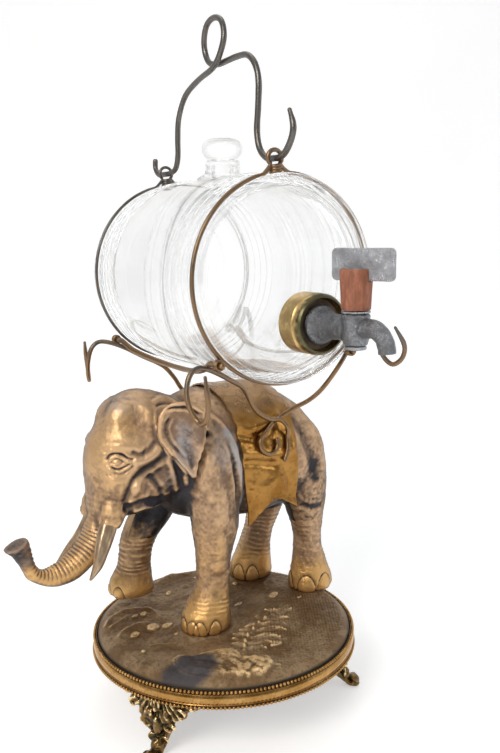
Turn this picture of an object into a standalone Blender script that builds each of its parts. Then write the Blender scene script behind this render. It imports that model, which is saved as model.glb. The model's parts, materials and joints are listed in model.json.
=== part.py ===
"""Elephant spirit dispenser: a cast elephant on a ringed base carries a ribbed glass barrel with a tap.

Blender 4.5, metres, +Z up. The elephant walks towards -X, the tap and the near flank face -Y.
"""

import math

import bmesh
import bpy
from mathutils import Matrix, Vector

# Clearances
GAP = 0.0003
OVERRUN = 0.004

# Base: a domed disc in a beaded ring on three feet
RING_TOP_HEIGHT = 0.0380
DISC_RADIUS = 0.0648
DISC_RISE = 0.0030
DISC_SHOULDER = 0.0042
DISC_THICKNESS = 0.0030
RING_RADIUS = 0.0677
RING_HEIGHT = 0.0088
RING_LEDGE_WIDTH = 0.0110
RING_LEDGE_THICKNESS = 0.0022
RING_BEAD = 0.0009
FOOT_WIDTH = 0.0440
FOOT_DEPTH = 0.0100
FOOT_SPLAY = 0.0100
FOOT_INSET = 0.0070
FOOT_SCREW_RADIUS = 0.0016
FOOT_SCREW_HEAD_RADIUS = 0.0034
FOOT_SCREW_HEAD_HEIGHT = 0.0018
FOOT_SCREW_DEPTH = 0.0080
FIRST_FOOT_TURN = math.radians(-150)
FOOT_COUNT = 3

# Elephant: sizes in the animal follow its height
ELEPHANT_HEIGHT = 0.1180
ELEPHANT_PARTS = 118
ELEPHANT_SHIFT_X = 0.0135
ELEPHANT_SHIFT_Y = 0.0185
ELEPHANT_TURN = math.radians(5)
LEG_STUD_RADIUS = 0.0020
LEG_STUD_DEPTH = 0.0110
LEG_NUT_RADIUS = 0.0036
LEG_NUT_HEIGHT = 0.0020

# Saddle cloth of sheet brass
CLOTH_THICKNESS = 0.0008
CLOTH_LIFT = 0.0008
CLOTH_FRONT_SHARE = -0.120
CLOTH_REAR_SHARE = 0.215
CLOTH_FRONT_TAPER_SHARE = 0.060
CLOTH_REAR_TAPER_SHARE = 0.025
CLOTH_FLANK_SHARE = 0.6

# Glass barrel, axis along Y
BARREL_SHIFT_X = 0.0146
BARREL_SHIFT_Y = 0.0178
BARREL_CLEARANCE = 0.0075
BARREL_BELLY_RADIUS = 0.0490
BARREL_GROOVE_DROP = 0.0026
BARREL_RIM_DROP = 0.0024
BARREL_STEP_DROP = 0.0072
BARREL_FACE_DROP = 0.0122
BARREL_HALF_LENGTH = 0.0626
BARREL_RIM_AT = 0.0578
BARREL_GROOVE_AT = 0.0535
BARREL_WALL = 0.0036
BARREL_END_WALL = 0.0052
RIB_HEIGHT = 0.0010
RIB_WIDTH = 0.0034
RIB_FIRST_AT = 0.0300
RIB_STEP = 0.0055
RIB_COUNT = 4
NECK_RADIUS = 0.0087
NECK_FLARE_RADIUS = 0.0128
NECK_HEIGHT = 0.0050
NECK_BORE_RADIUS = 0.0056
STOPPER_SHIFT_Y = 0.0000
STOPPER_FLANGE_HEIGHT = 0.0026
STOPPER_KNOB_RADIUS = 0.0102
STOPPER_KNOB_HEIGHT = 0.0108
STOPPER_PLUG_LENGTH = 0.0120
STOPPER_PLUG_TAPER = 0.0006

# Tap, collar and bung
TAP_SIDE = 0.0038
TAP_DROP = 0.0187
MOUTH_RADIUS = 0.0085
COLLAR_RADIUS = 0.0138
COLLAR_LENGTH = 0.0150
COLLAR_BORE_RADIUS = 0.0118
COLLAR_LIP = 0.0010
BUNG_LENGTH = 0.0115
TAP_SHANK_RADIUS = 0.0048
TAP_SHANK_LENGTH = 0.0190
TAP_FLANGE_RADIUS = 0.0088
TAP_FLANGE_THICKNESS = 0.0030
TAP_NECK_RADIUS = 0.0066
TAP_REACH = 0.0220
TAP_HOUSING_RADIUS = 0.0060
TAP_HOUSING_HEIGHT = 0.0132
TAP_SPOUT_RADIUS = 0.0037
TAP_SPOUT_REACH = 0.0195
TAP_SPOUT_DROP = 0.0082
TAP_BORE_RADIUS = 0.0020
PLUG_RADIUS = 0.0036
PLUG_STEM_RADIUS = 0.0026
PLUG_COLLAR_HEIGHT = 0.0010
KEY_WIDTH = 0.0301
KEY_SHIFT = 0.0033
KEY_TURN = math.radians(-73)
KEY_HEIGHT = 0.0134
KEY_THICKNESS = 0.0020
KEY_CORNER = 0.0022
SLEEVE_RADIUS = 0.0070
SLEEVE_FOOT_RADIUS = 0.0062
SLEEVE_HEIGHT = 0.0168
SLEEVE_OVER_KEY = 0.0048
RETAINER_RADIUS = 0.0046
RETAINER_HEIGHT = 0.0014

# Wires
HOOP_WIRE = 0.0026
RAIL_WIRE = 0.0034
STRUT_WIRE = 0.0027
HANDLE_WIRE = 0.0032
BINDING_WIRE = 0.0012
EYE_BORE_RADIUS = 0.0024
EYE_TURN = math.radians(5)
RAIL_TURN = math.radians(46)
RAIL_SAG_TURN = math.radians(14)
RAIL_OVERHANG = 0.0052
HANDLE_RISE = 0.0693
HOOK_SIZE = 0.0200
SADDLE_EYE_RADIUS = 0.0052

# Glass and metal finishes: colour, roughness, metallic
FINISHES = {
    "patinated_bronze": ((0.36, 0.22, 0.11), 0.42, 0.9),
    "saddle_brass": ((0.66, 0.38, 0.10), 0.30, 1.0),
    "gilt_brass": ((0.78, 0.55, 0.20), 0.25, 1.0),
    "dark_bronze": ((0.17, 0.13, 0.08), 0.5, 0.8),
    "clear_glass": ((0.86, 0.90, 0.88), 0.04, 0.0),
    "steel_wire": ((0.20, 0.18, 0.16), 0.4, 1.0),
    "brassy_wire": ((0.36, 0.27, 0.15), 0.4, 1.0),
    "pewter": ((0.33, 0.34, 0.36), 0.4, 0.9),
    "aged_brass": ((0.42, 0.31, 0.13), 0.45, 0.9),
    "rust_sleeve": ((0.33, 0.13, 0.07), 0.7, 0.1),
    "cork": ((0.50, 0.35, 0.20), 0.85, 0.0),
    "ivory_bronze": ((0.52, 0.36, 0.20), 0.35, 0.9),
}

# Elephant outlines, in parts of its height, from the soles up and from its own middle backwards.
# Torso: place along the back, top, underside, half width.
TORSO_SHARES = (
    (-44.0, 92.0, 74.0, 8.0),
    (-42.0, 101.0, 64.0, 15.0),
    (-36.0, 111.5, 56.5, 20.5),
    (-28.0, 116.5, 53.0, 24.5),
    (-18.0, 118.6, 50.0, 27.0),
    (-5.0, 117.6, 48.0, 28.8),
    (8.0, 118.0, 47.0, 30.0),
    (20.0, 116.6, 47.0, 30.0),
    (32.0, 111.0, 48.0, 29.0),
    (41.0, 103.8, 49.0, 26.6),
    (48.5, 94.8, 48.0, 23.0),
    (55.0, 84.5, 47.0, 18.6),
    (59.8, 73.5, 47.0, 13.0),
    (62.0, 65.5, 53.0, 7.4),
)
# Head and trunk: front line x and z, back line x and z, half width.
HEAD_SHARES = (
    (-24.0, 114.5, -24.0, 70.0, 19.0),
    (-34.0, 117.0, -33.0, 65.0, 20.5),
    (-43.0, 120.3, -41.0, 62.5, 20.0),
    (-52.0, 122.4, -48.0, 61.5, 19.5),
    (-61.0, 121.0, -53.5, 61.0, 19.0),
    (-68.5, 115.5, -57.5, 60.8, 18.0),
    (-73.5, 107.0, -60.5, 60.8, 17.2),
    (-78.0, 98.5, -63.0, 60.8, 15.6),
    (-79.8, 90.0, -65.0, 60.8, 13.4),
    (-79.2, 82.0, -66.6, 60.6, 11.6),
    (-79.0, 74.0, -68.0, 59.8, 10.2),
    (-80.0, 65.3, -69.6, 57.6, 9.0),
    (-83.0, 56.8, -72.0, 50.8, 8.2),
    (-88.5, 50.0, -78.5, 42.4, 7.4),
    (-95.5, 45.6, -89.0, 35.2, 6.4),
    (-103.5, 43.3, -101.5, 34.6, 5.0),
    (-107.8, 46.3, -111.8, 40.6, 4.2),
    (-109.6, 51.8, -115.2, 48.6, 3.8),
    (-110.6, 57.8, -118.4, 54.2, 5.0),
    (-111.6, 61.4, -122.2, 58.0, 6.2),
)
# Legs: height, middle x, middle y, half length, half width.
LEG_SHARES = {
    "leg_front_left": (
        (0.0, -28.5, -20.6, 12.4, 11.2),
        (3.0, -28.6, -20.6, 13.0, 11.9),
        (8.0, -28.2, -20.6, 12.6, 11.4),
        (14.0, -26.5, -20.6, 10.6, 10.0),
        (22.0, -24.0, -20.4, 8.8, 8.7),
        (30.0, -23.0, -20.2, 8.7, 8.7),
        (40.0, -22.6, -20.2, 9.7, 9.5),
        (50.0, -21.2, -19.8, 12.2, 10.6),
        (62.0, -21.0, -19.0, 13.4, 11.4),
        (76.0, -21.5, -18.0, 13.8, 11.4),
        (88.0, -22.0, -17.0, 12.4, 10.4),
        (98.0, -22.0, -15.5, 9.0, 7.4),
    ),
    "leg_front_right": (
        (8.5, -46.8, 22.6, 11.6, 10.8),
        (11.5, -47.0, 22.6, 12.2, 11.4),
        (16.0, -47.0, 22.4, 11.4, 10.6),
        (23.0, -45.4, 22.0, 9.2, 9.0),
        (30.0, -44.4, 21.6, 8.7, 8.7),
        (37.0, -42.8, 21.2, 9.6, 9.3),
        (45.0, -38.0, 20.6, 11.4, 10.2),
        (54.0, -32.0, 20.0, 12.8, 11.0),
        (66.0, -26.5, 19.0, 13.4, 11.4),
        (78.0, -24.0, 18.0, 13.0, 11.2),
        (89.0, -22.5, 17.0, 11.2, 9.8),
        (98.0, -22.0, 15.5, 8.0, 7.0),
    ),
    "leg_rear_left": (
        (0.0, 45.5, -16.6, 12.2, 11.0),
        (3.0, 45.6, -16.6, 12.6, 11.6),
        (8.0, 45.2, -16.6, 11.8, 11.0),
        (15.0, 44.4, -16.6, 9.8, 9.4),
        (24.0, 43.4, -16.6, 8.0, 8.4),
        (32.0, 43.0, -16.4, 7.9, 8.2),
        (41.0, 42.6, -16.0, 9.8, 9.4),
        (52.0, 41.6, -15.6, 13.0, 11.0),
        (64.0, 40.0, -15.2, 15.4, 11.8),
        (76.0, 38.6, -14.8, 15.0, 11.4),
        (86.0, 37.0, -14.0, 11.0, 9.2),
    ),
    "leg_rear_right": (
        (0.0, 28.4, 16.6, 12.0, 11.0),
        (3.0, 28.4, 16.6, 12.6, 11.6),
        (8.0, 28.8, 16.6, 12.0, 11.0),
        (15.0, 30.4, 16.6, 10.2, 9.6),
        (24.0, 33.4, 16.6, 8.8, 8.6),
        (32.0, 36.6, 16.4, 9.2, 8.8),
        (41.0, 39.0, 16.0, 11.4, 10.0),
        (52.0, 39.6, 15.6, 13.8, 11.2),
        (64.0, 39.4, 15.2, 15.6, 12.0),
        (76.0, 38.8, 14.8, 15.0, 11.4),
        (86.0, 37.0, 14.0, 11.0, 9.2),
    ),
}
STANDING_LEGS = ("leg_front_left", "leg_rear_left", "leg_rear_right")
# Tusk: x, y, z, radius. The left one leads; the right one mirrors it.
TUSK_SHARES = (
    (-66.0, -9.6, 70.0, 3.1),
    (-71.5, -10.8, 62.5, 3.1),
    (-76.0, -12.0, 55.5, 2.9),
    (-80.5, -13.4, 48.5, 2.3),
    (-84.5, -14.4, 42.0, 1.4),
    (-86.5, -14.8, 38.5, 0.5),
)
# Tail: x, z, radius.
TAIL_SHARES = (
    (58.0, 80.0, 2.6),
    (63.0, 74.0, 2.4),
    (66.4, 66.0, 2.0),
    (67.2, 56.0, 1.7),
    (66.4, 46.0, 1.6),
    (65.0, 38.0, 2.3),
    (63.8, 31.0, 2.5),
    (63.0, 26.0, 1.0),
)
# Ear outline in side view: x and z, and how far the leaf stands from the middle.
EAR_SHARES = (
    (-52.6, 104.0),
    (-52.0, 113.5),
    (-46.5, 118.6),
    (-38.5, 119.4),
    (-31.0, 115.5),
    (-28.0, 107.0),
    (-28.8, 97.0),
    (-31.4, 88.0),
    (-36.4, 79.0),
    (-40.6, 73.6),
    (-42.6, 77.0),
    (-43.4, 85.0),
    (-47.6, 94.5),
)
EAR_ROOT_SHARE = 17.4
EAR_TIP_SHARE = 30.6
EAR_THICKNESS_SHARE = 3.0
# Saddle cloth hem height along its length, from front to rear.
HEM_SHARES = (50.5, 54.0, 58.5, 62.5, 61.0, 58.0, 55.0)

# Foot of a strut on the saddle: x, height, and 1 where it crosses over the other strut.
HEAD_FOOT_SHARES = ((13.6, 82.0, 0), (15.6, 87.0, 0), (16.6, 93.0, 0), (16.0, 98.5, 1), (13.0, 102.4, 1))
TAIL_FOOT_SHARES = ((6.6, 99.0, 0), (13.0, 102.4, 0))
SADDLE_EYE_SHARES = (4.6, 91.5)
SADDLE_EYE_TURNS = (15, -20, -60, -100, -140, -180, -215)
# Strut from the saddle to the cradle: shares of the way along X, Y and Z.
HEAD_STRUT_SHARES = (
    (0.16, 0.13, 0.06),
    (0.34, 0.24, 0.22),
    (0.45, 0.30, 0.46),
    (0.56, 0.46, 0.65),
    (0.77, 0.77, 0.82),
)
TAIL_STRUT_SHARES = (
    (0.36, 0.03, 0.12),
    (0.64, 0.13, 0.21),
    (0.86, 0.24, 0.34),
    (1.04, 0.38, 0.54),
    (1.10, 0.64, 0.78),
)
# Hooks: outwards, sideways and up from the place under the rail, in shares of the hook size.
HEAD_HOOK_SHARES = (
    (0.46, 0.20, 0.14),
    (0.72, 0.25, 0.00),
    (0.83, 0.30, -0.36),
    (0.81, 0.42, -0.70),
    (0.72, 0.60, -0.96),
    (0.65, 0.80, -0.90),
    (0.64, 0.90, -0.56),
    (0.67, 0.90, -0.22),
    (0.69, 0.88, 0.06),
)
TAIL_HOOK_SHARES = (
    (0.20, 0.12, 0.36),
    (0.38, 0.25, 0.60),
    (0.57, 0.35, 0.36),
    (0.64, 0.43, 0.00),
    (0.74, 0.53, -0.26),
    (0.87, 0.68, -0.38),
    (0.98, 0.87, -0.20),
    (0.98, 0.93, 0.12),
    (0.72, 0.88, 0.56),
)
# Handle in its own plane: along the barrel in half pivot spans, and up in handle rises.
HANDLE_SHARES = (
    (1.235, 0.115, 0.0),
    (1.235, 0.055, 0.0),
    (1.160, 0.004, 0.0),
    (1.060, 0.000, 0.0),
    (1.000, 0.000, 0.0),
    (0.900, 0.002, 0.0),
    (0.780, 0.030, 0.0),
    (0.722, 0.120, 0.0),
    (0.715, 0.250, 0.0),
    (0.680, 0.400, 0.0),
    (0.530, 0.545, 0.0),
    (0.240, 0.620, -0.5),
    (-0.045, 0.660, -1.0),
    (-0.172, 0.720, -1.0),
    (-0.247, 0.840, -0.6),
    (-0.190, 0.955, -0.2),
    (-0.050, 1.000, 0.0),
    (0.095, 0.975, 0.2),
    (0.175, 0.890, 0.6),
    (0.180, 0.800, 1.0),
    (0.110, 0.728, 1.0),
    (-0.030, 0.697, 1.0),
    (-0.230, 0.697, 0.8),
    (-0.420, 0.697, 0.4),
    (-0.600, 0.680, 0.0),
    (-0.715, 0.610, 0.0),
    (-0.768, 0.500, 0.0),
    (-0.757, 0.340, 0.0),
    (-0.735, 0.190, 0.0),
    (-0.775, 0.075, 0.0),
    (-0.880, 0.008, 0.0),
    (-1.000, 0.000, 0.0),
    (-1.080, 0.002, 0.0),
    (-1.165, 0.035, 0.0),
    (-1.240, 0.105, 0.0),
    (-1.265, 0.180, 0.0),
    (-1.215, 0.275, 0.0),
)
# Foot of the base: height, outward place, half width, half depth.
FOOT_SHARES = (
    (1.00, 0.00, 0.50, 0.50),
    (0.90, 0.00, 0.50, 0.56),
    (0.76, 0.16, 0.41, 0.62),
    (0.60, 0.10, 0.27, 0.52),
    (0.44, 0.00, 0.16, 0.42),
    (0.28, 0.08, 0.11, 0.36),
    (0.15, 0.42, 0.11, 0.36),
    (0.06, 0.86, 0.15, 0.46),
    (0.00, 1.00, 0.13, 0.36),
)

# Finenesses
TORSO_SIDES = 20
LEG_SIDES = 14
HEAD_SIDES = 16
BARREL_SIDES = 32
BASE_SIDES = 44
WIRE_STEPS = 2
WIRE_DETAIL = 1
CLOTH_COLUMNS = 9
CLOTH_ROWS = 9


def clear_scene():
    for thing in list(bpy.data.objects):
        bpy.data.objects.remove(thing, do_unlink=True)


def finish(name):
    made = bpy.data.materials.get(name)
    if made:
        return made
    colour, roughness, metallic = FINISHES[name]
    made = bpy.data.materials.new(name)
    made.use_nodes = True
    shader = made.node_tree.nodes["Principled BSDF"]
    shader.inputs["Base Color"].default_value = (*colour, 1)
    shader.inputs["Roughness"].default_value = roughness
    shader.inputs["Metallic"].default_value = metallic
    if name == "clear_glass":
        shader.inputs["Transmission Weight"].default_value = 1
    return made


def empty(name, place, parent=None, turn=0.0):
    made = bpy.data.objects.new(name, None)
    bpy.context.scene.collection.objects.link(made)
    made.parent = parent
    made.location = place
    made.rotation_euler = (0, 0, turn)
    return made


def solid(name, bm, surface, parent, smooth=True):
    """Turns a bmesh into a named object with its faces pointing out."""
    bmesh.ops.recalc_face_normals(bm, faces=bm.faces)
    if bm.calc_volume(signed=True) < 0:
        bmesh.ops.reverse_faces(bm, faces=bm.faces)
    mesh = bpy.data.meshes.new(name)
    bm.to_mesh(mesh)
    bm.free()
    if smooth:
        mesh.shade_smooth()
        mesh.set_sharp_from_angle(angle=math.radians(40))
    made = bpy.data.objects.new(name, mesh)
    bpy.context.scene.collection.objects.link(made)
    made.parent = parent
    if surface:
        mesh.materials.append(finish(surface))
    return made


def cutter(name, bm, parent):
    made = solid(name, bm, None, parent, smooth=False)
    made.hide_render = True
    made.display_type = "WIRE"
    return made


def boolean(target, other, operation):
    change = target.modifiers.new(f"{operation.lower()}_{other.name}", "BOOLEAN")
    change.operation = operation
    change.solver = "EXACT"
    change.object = other


def cut(target, *others):
    for other in others:
        boolean(target, other, "DIFFERENCE")


def join(target, *others):
    for other in others:
        boolean(target, other, "UNION")


def smooth_rows(rows, steps):
    """Catmull-Rom rows between the given rows, with steps rows for each of their intervals."""
    found = []
    last = len(rows) - 1
    for i in range(last):
        a, b, c, d = (rows[max(i - 1, 0)], rows[i], rows[i + 1], rows[min(i + 2, last)])
        for k in range(steps):
            t = k / steps
            weights = (-t + 2 * t**2 - t**3, 2 - 5 * t**2 + 3 * t**3, t + 4 * t**2 - 3 * t**3, t**3 - t**2)
            found.append(tuple(sum(w * v for w, v in zip(weights, column)) / 2 for column in zip(a, b, c, d)))
    found.append(tuple(rows[last]))
    return found


def loft(rings):
    """Closed skin through rings of equally many points, with flat ends."""
    bm = bmesh.new()
    made = [[bm.verts.new(point) for point in ring] for ring in rings]
    count = len(made[0])
    for lower, upper in zip(made, made[1:]):
        for i in range(count):
            j = (i + 1) % count
            bm.faces.new((lower[i], lower[j], upper[j], upper[i]))
    bm.faces.new(list(reversed(made[0])))
    bm.faces.new(made[-1])
    return bm


def oval(middle, along, across, half_along, half_across, sides):
    return [
        middle
        + along * half_along * math.cos(math.tau * i / sides)
        + across * half_across * math.sin(math.tau * i / sides)
        for i in range(sides)
    ]


def turned(profile, sides):
    """Solid turned about Z from a closed outline of radius and height pairs."""
    bm = bmesh.new()
    turns = [math.tau * i / sides for i in range(sides)]
    rings = []
    for radius, height in profile:
        ring = []
        for turn in turns if radius else turns[:1]:
            ring.append(bm.verts.new((radius * math.cos(turn), radius * math.sin(turn), height)))
        rings.append(ring)
    pairs = list(zip(rings, rings[1:]))
    if profile[0][0] > 0:
        pairs.append((rings[-1], rings[0]))
    for first, second in pairs:
        for i in range(sides):
            j = (i + 1) % sides
            corners = [first[i % len(first)], first[j % len(first)]]
            corners += [second[j % len(second)], second[i % len(second)]]
            unique = list(dict.fromkeys(corners))
            if len(unique) > 2:
                bm.faces.new(unique)
    return bm


def cylinder(radius, low, high, sides):
    return turned(((0, low), (radius, low), (radius, high), (0, high)), sides)


def lay_along_y(bm):
    """Turns a solid made about Z so that its +Z end points to -Y."""
    bmesh.ops.rotate(bm, verts=bm.verts, matrix=Matrix.Rotation(math.radians(90), 3, "X"))
    return bm


def moved(bm, place):
    bmesh.ops.translate(bm, verts=bm.verts, vec=place)
    return bm


def wire(name, points, diameter, surface, parent, closed=False):
    """Round wire as a curve through the given points."""
    curve = bpy.data.curves.new(name, "CURVE")
    curve.dimensions = "3D"
    curve.bevel_depth = diameter / 2
    curve.bevel_resolution = WIRE_DETAIL
    curve.use_fill_caps = not closed
    curve.twist_mode = "MINIMUM"
    spline = curve.splines.new("POLY")
    spline.points.add(len(points) - 1)
    for slot, point in zip(spline.points, points):
        slot.co = (*point, 1)
    spline.use_cyclic_u = closed
    spline.use_smooth = True
    made = bpy.data.objects.new(name, curve)
    bpy.context.scene.collection.objects.link(made)
    made.parent = parent
    curve.materials.append(finish(surface))
    return made


def part_size(share):
    """A length on the elephant, from parts of its height."""
    return share * ELEPHANT_HEIGHT / ELEPHANT_PARTS


def torso_rings(grow):
    rows = smooth_rows(TORSO_SHARES, 2)
    rings = []
    for i, row in enumerate(rows):
        x, top, under, half_width = (part_size(value) for value in row)
        end = (i == len(rows) - 1) - (i == 0)
        middle = Vector((x + end * grow, 0, (top + under) / 2))
        half_height = (top - under) / 2 + grow
        half_width += grow
        rings.append(oval(middle, Vector((0, 0, 1)), Vector((0, 1, 0)), half_height, half_width, TORSO_SIDES))
    return rings


def head_rings(grow):
    rows = smooth_rows(HEAD_SHARES, 2)
    rings = []
    for row in rows:
        front = Vector((part_size(row[0]), 0, part_size(row[1])))
        back = Vector((part_size(row[2]), 0, part_size(row[3])))
        reach = front - back
        along = reach.normalized()
        rings.append(
            oval(
                (front + back) / 2,
                along,
                Vector((0, 1, 0)),
                reach.length / 2 + grow,
                part_size(row[4]) + grow,
                HEAD_SIDES,
            )
        )
    return rings


def leg_rings(name, grow):
    rows = LEG_SHARES[name]
    rings = []
    for i, row in enumerate(rows):
        height, x, y, half_length, half_width = (part_size(value) for value in row)
        end = (i == len(rows) - 1) * grow
        rings.append(
            oval(
                Vector((x, y, height + end)),
                Vector((1, 0, 0)),
                Vector((0, 1, 0)),
                half_length + grow,
                half_width + grow,
                LEG_SIDES,
            )
        )
    return rings


def horn_rings(rows, sides, grow):
    """Rings square to a curved horn, tail or tusk."""
    places = [Vector(row[:3]) for row in rows]
    rings = []
    for i, row in enumerate(rows):
        ahead = places[min(i + 1, len(rows) - 1)] - places[max(i - 1, 0)]
        across = Vector((0, 1, 0))
        along = across.cross(ahead).normalized()
        across = ahead.cross(along).normalized()
        rings.append(oval(places[i], along, across, row[3] + grow, row[3] + grow, sides))
    return rings


def torso_half_width(x, z):
    """Half width of the torso at a place along it and a height, and its widest height there."""
    rows = smooth_rows(TORSO_SHARES, 8)
    x_share = x * ELEPHANT_PARTS / ELEPHANT_HEIGHT
    row = min(rows, key=lambda found: abs(found[0] - x_share))
    top, under, half_width = (part_size(value) for value in row[1:])
    middle = (top + under) / 2
    if z <= middle:
        return half_width, middle
    rise = min((z - middle) / ((top - under) / 2), 1)
    return half_width * math.sqrt(1 - rise**2), middle


def on_saddle(side, x, z, away):
    """Place beside the saddle cloth in the elephant's frame. away is the distance outside the cloth."""
    half_width, _ = torso_half_width(x, z)
    return Vector((x, side * (half_width + CLOTH_LIFT + CLOTH_THICKNESS + GAP + away), z))


def build_elephant(stand):
    torso = solid("torso", loft(torso_rings(0)), "patinated_bronze", stand)
    head = solid("head_with_trunk", loft(head_rings(0)), "patinated_bronze", stand)
    torso_room = cutter("room_for_torso", loft(torso_rings(GAP)), stand)
    head_room = cutter("room_for_head", loft(head_rings(GAP)), stand)
    leg_rooms = {}
    for name in LEG_SHARES:
        leg = solid(name, loft(leg_rings(name, 0)), "patinated_bronze", stand)
        leg_rooms[name] = cutter(f"room_for_{name}", loft(leg_rings(name, GAP)), stand)
        cut(torso, leg_rooms[name])
        if name in STANDING_LEGS:
            place = stand.matrix_basis.inverted() @ stud_place(name, stand.location)
            place.z = 0
            stud = cylinder(LEG_STUD_RADIUS + GAP, -OVERRUN, LEG_STUD_DEPTH + GAP, 12)
            cut(leg, cutter(f"stud_hole_{name}", moved(stud, place), stand))
    cut(head, torso_room, leg_rooms["leg_front_left"], leg_rooms["leg_front_right"])
    for side, hand in ((-1, "left"), (1, "right")):
        ear = solid(f"ear_{hand}", ear_leaf(side), "patinated_bronze", stand)
        cut(ear, head_room, torso_room, leg_rooms[f"leg_front_{hand}"])
        rows = [
            (part_size(x), -side * part_size(y), part_size(z), part_size(radius))
            for x, y, z, radius in smooth_rows(TUSK_SHARES, 2)
        ]
        tusk = solid(f"tusk_{hand}", loft(horn_rings(rows, 8, 0)), "ivory_bronze", stand)
        cut(tusk, head_room)
    rows = [(part_size(x), 0, part_size(z), part_size(r)) for x, z, r in smooth_rows(TAIL_SHARES, 2)]
    tail = solid("tail", loft(horn_rings(rows, 8, 0)), "patinated_bronze", stand)
    cut(tail, torso_room)
    cloth = solid("saddle_cloth", saddle_sheet(), "saddle_brass", stand)
    cut(cloth, leg_rooms["leg_front_left"], leg_rooms["leg_front_right"])


def ear_leaf(side):
    """Leaf of the ear: thin at its rim, standing further out towards the rear."""
    bm = bmesh.new()
    low = min(x for x, z in EAR_SHARES)
    high = max(x for x, z in EAR_SHARES)
    middle_x = sum(x for x, z in EAR_SHARES) / len(EAR_SHARES)
    middle_z = sum(z for x, z in EAR_SHARES) / len(EAR_SHARES)

    def place(x, z, outward):
        out = EAR_ROOT_SHARE + (EAR_TIP_SHARE - EAR_ROOT_SHARE) * (x - low) / (high - low)
        return (part_size(x), side * part_size(out + outward * EAR_THICKNESS_SHARE / 2), part_size(z))

    layers = []
    for outward in (-1, 1):
        rim = [bm.verts.new(place(x, z, outward * 0.5)) for x, z in EAR_SHARES]
        inner = [
            bm.verts.new(place(middle_x + (x - middle_x) * 0.6, middle_z + (z - middle_z) * 0.6, outward))
            for x, z in EAR_SHARES
        ]
        layers.append((rim, inner, bm.verts.new(place(middle_x, middle_z, outward * 0.8))))
    count = len(EAR_SHARES)
    for rim, inner, middle in layers:
        for i in range(count):
            j = (i + 1) % count
            bm.faces.new((rim[i], rim[j], inner[j], inner[i]))
            bm.faces.new((inner[i], inner[j], middle))
    for i in range(count):
        j = (i + 1) % count
        bm.faces.new((layers[0][0][i], layers[0][0][j], layers[1][0][j], layers[1][0][i]))
    return bm


def saddle_spot(along, t, side, hem):
    """Place of the sheet's inner face, and the way out from there. t runs from the ridge to the hem."""
    front = CLOTH_FRONT_SHARE + CLOTH_FRONT_TAPER_SHARE * t
    rear = CLOTH_REAR_SHARE - CLOTH_REAR_TAPER_SHARE * t
    x = ELEPHANT_HEIGHT * (front + (rear - front) * along)
    row = min(smooth_rows(TORSO_SHARES, 8), key=lambda found: abs(part_size(found[0]) - x))
    top, under, half_width = (part_size(value) for value in row[1:])
    middle = (top + under) / 2
    if t <= CLOTH_FLANK_SHARE:
        turn = t / CLOTH_FLANK_SHARE * math.pi / 2
        out = Vector((0, side * math.sin(turn), math.cos(turn)))
        return Vector((x, half_width * out.y, middle + (top - middle) * out.z)), out
    drop = (t - CLOTH_FLANK_SHARE) / (1 - CLOTH_FLANK_SHARE) * (middle - hem)
    return Vector((x, side * half_width, middle - drop)), Vector((0, side, 0))


def saddle_sheet():
    """Brass sheet over the back, with a forked hem on each flank."""
    hems = smooth_rows([(value,) for value in HEM_SHARES], 8)
    grid = []
    for i in range(CLOTH_COLUMNS):
        along = i / (CLOTH_COLUMNS - 1)
        hem = part_size(hems[round(along * (len(hems) - 1))][0])
        line = []
        for j in range(-CLOTH_ROWS, CLOTH_ROWS + 1):
            line.append(saddle_spot(along, abs(j) / CLOTH_ROWS, (j > 0) - (j < 0), hem))
        grid.append(line)
    bm = bmesh.new()
    layers = []
    for off in (CLOTH_LIFT, CLOTH_LIFT + CLOTH_THICKNESS):
        layers.append([[bm.verts.new(spot + out * off) for spot, out in line] for line in grid])
    for layer in layers:
        for first, second in zip(layer, layer[1:]):
            for j in range(2 * CLOTH_ROWS):
                bm.faces.new((first[j], first[j + 1], second[j + 1], second[j]))
    inner, outer = layers
    for i in range(CLOTH_COLUMNS - 1):
        for j in (0, 2 * CLOTH_ROWS):
            bm.faces.new((inner[i][j], inner[i + 1][j], outer[i + 1][j], outer[i][j]))
    for j in range(2 * CLOTH_ROWS):
        for i in (0, CLOTH_COLUMNS - 1):
            bm.faces.new((inner[i][j], inner[i][j + 1], outer[i][j + 1], outer[i][j]))
    return bm


def ledge_top():
    return RING_TOP_HEIGHT - DISC_THICKNESS - GAP


def ledge_bottom():
    return ledge_top() - RING_LEDGE_THICKNESS


def foot_place(i):
    turn = FIRST_FOOT_TURN + math.tau * i / FOOT_COUNT
    out = DISC_RADIUS - FOOT_INSET
    return turn, Vector((out * math.cos(turn), out * math.sin(turn), 0))


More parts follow.
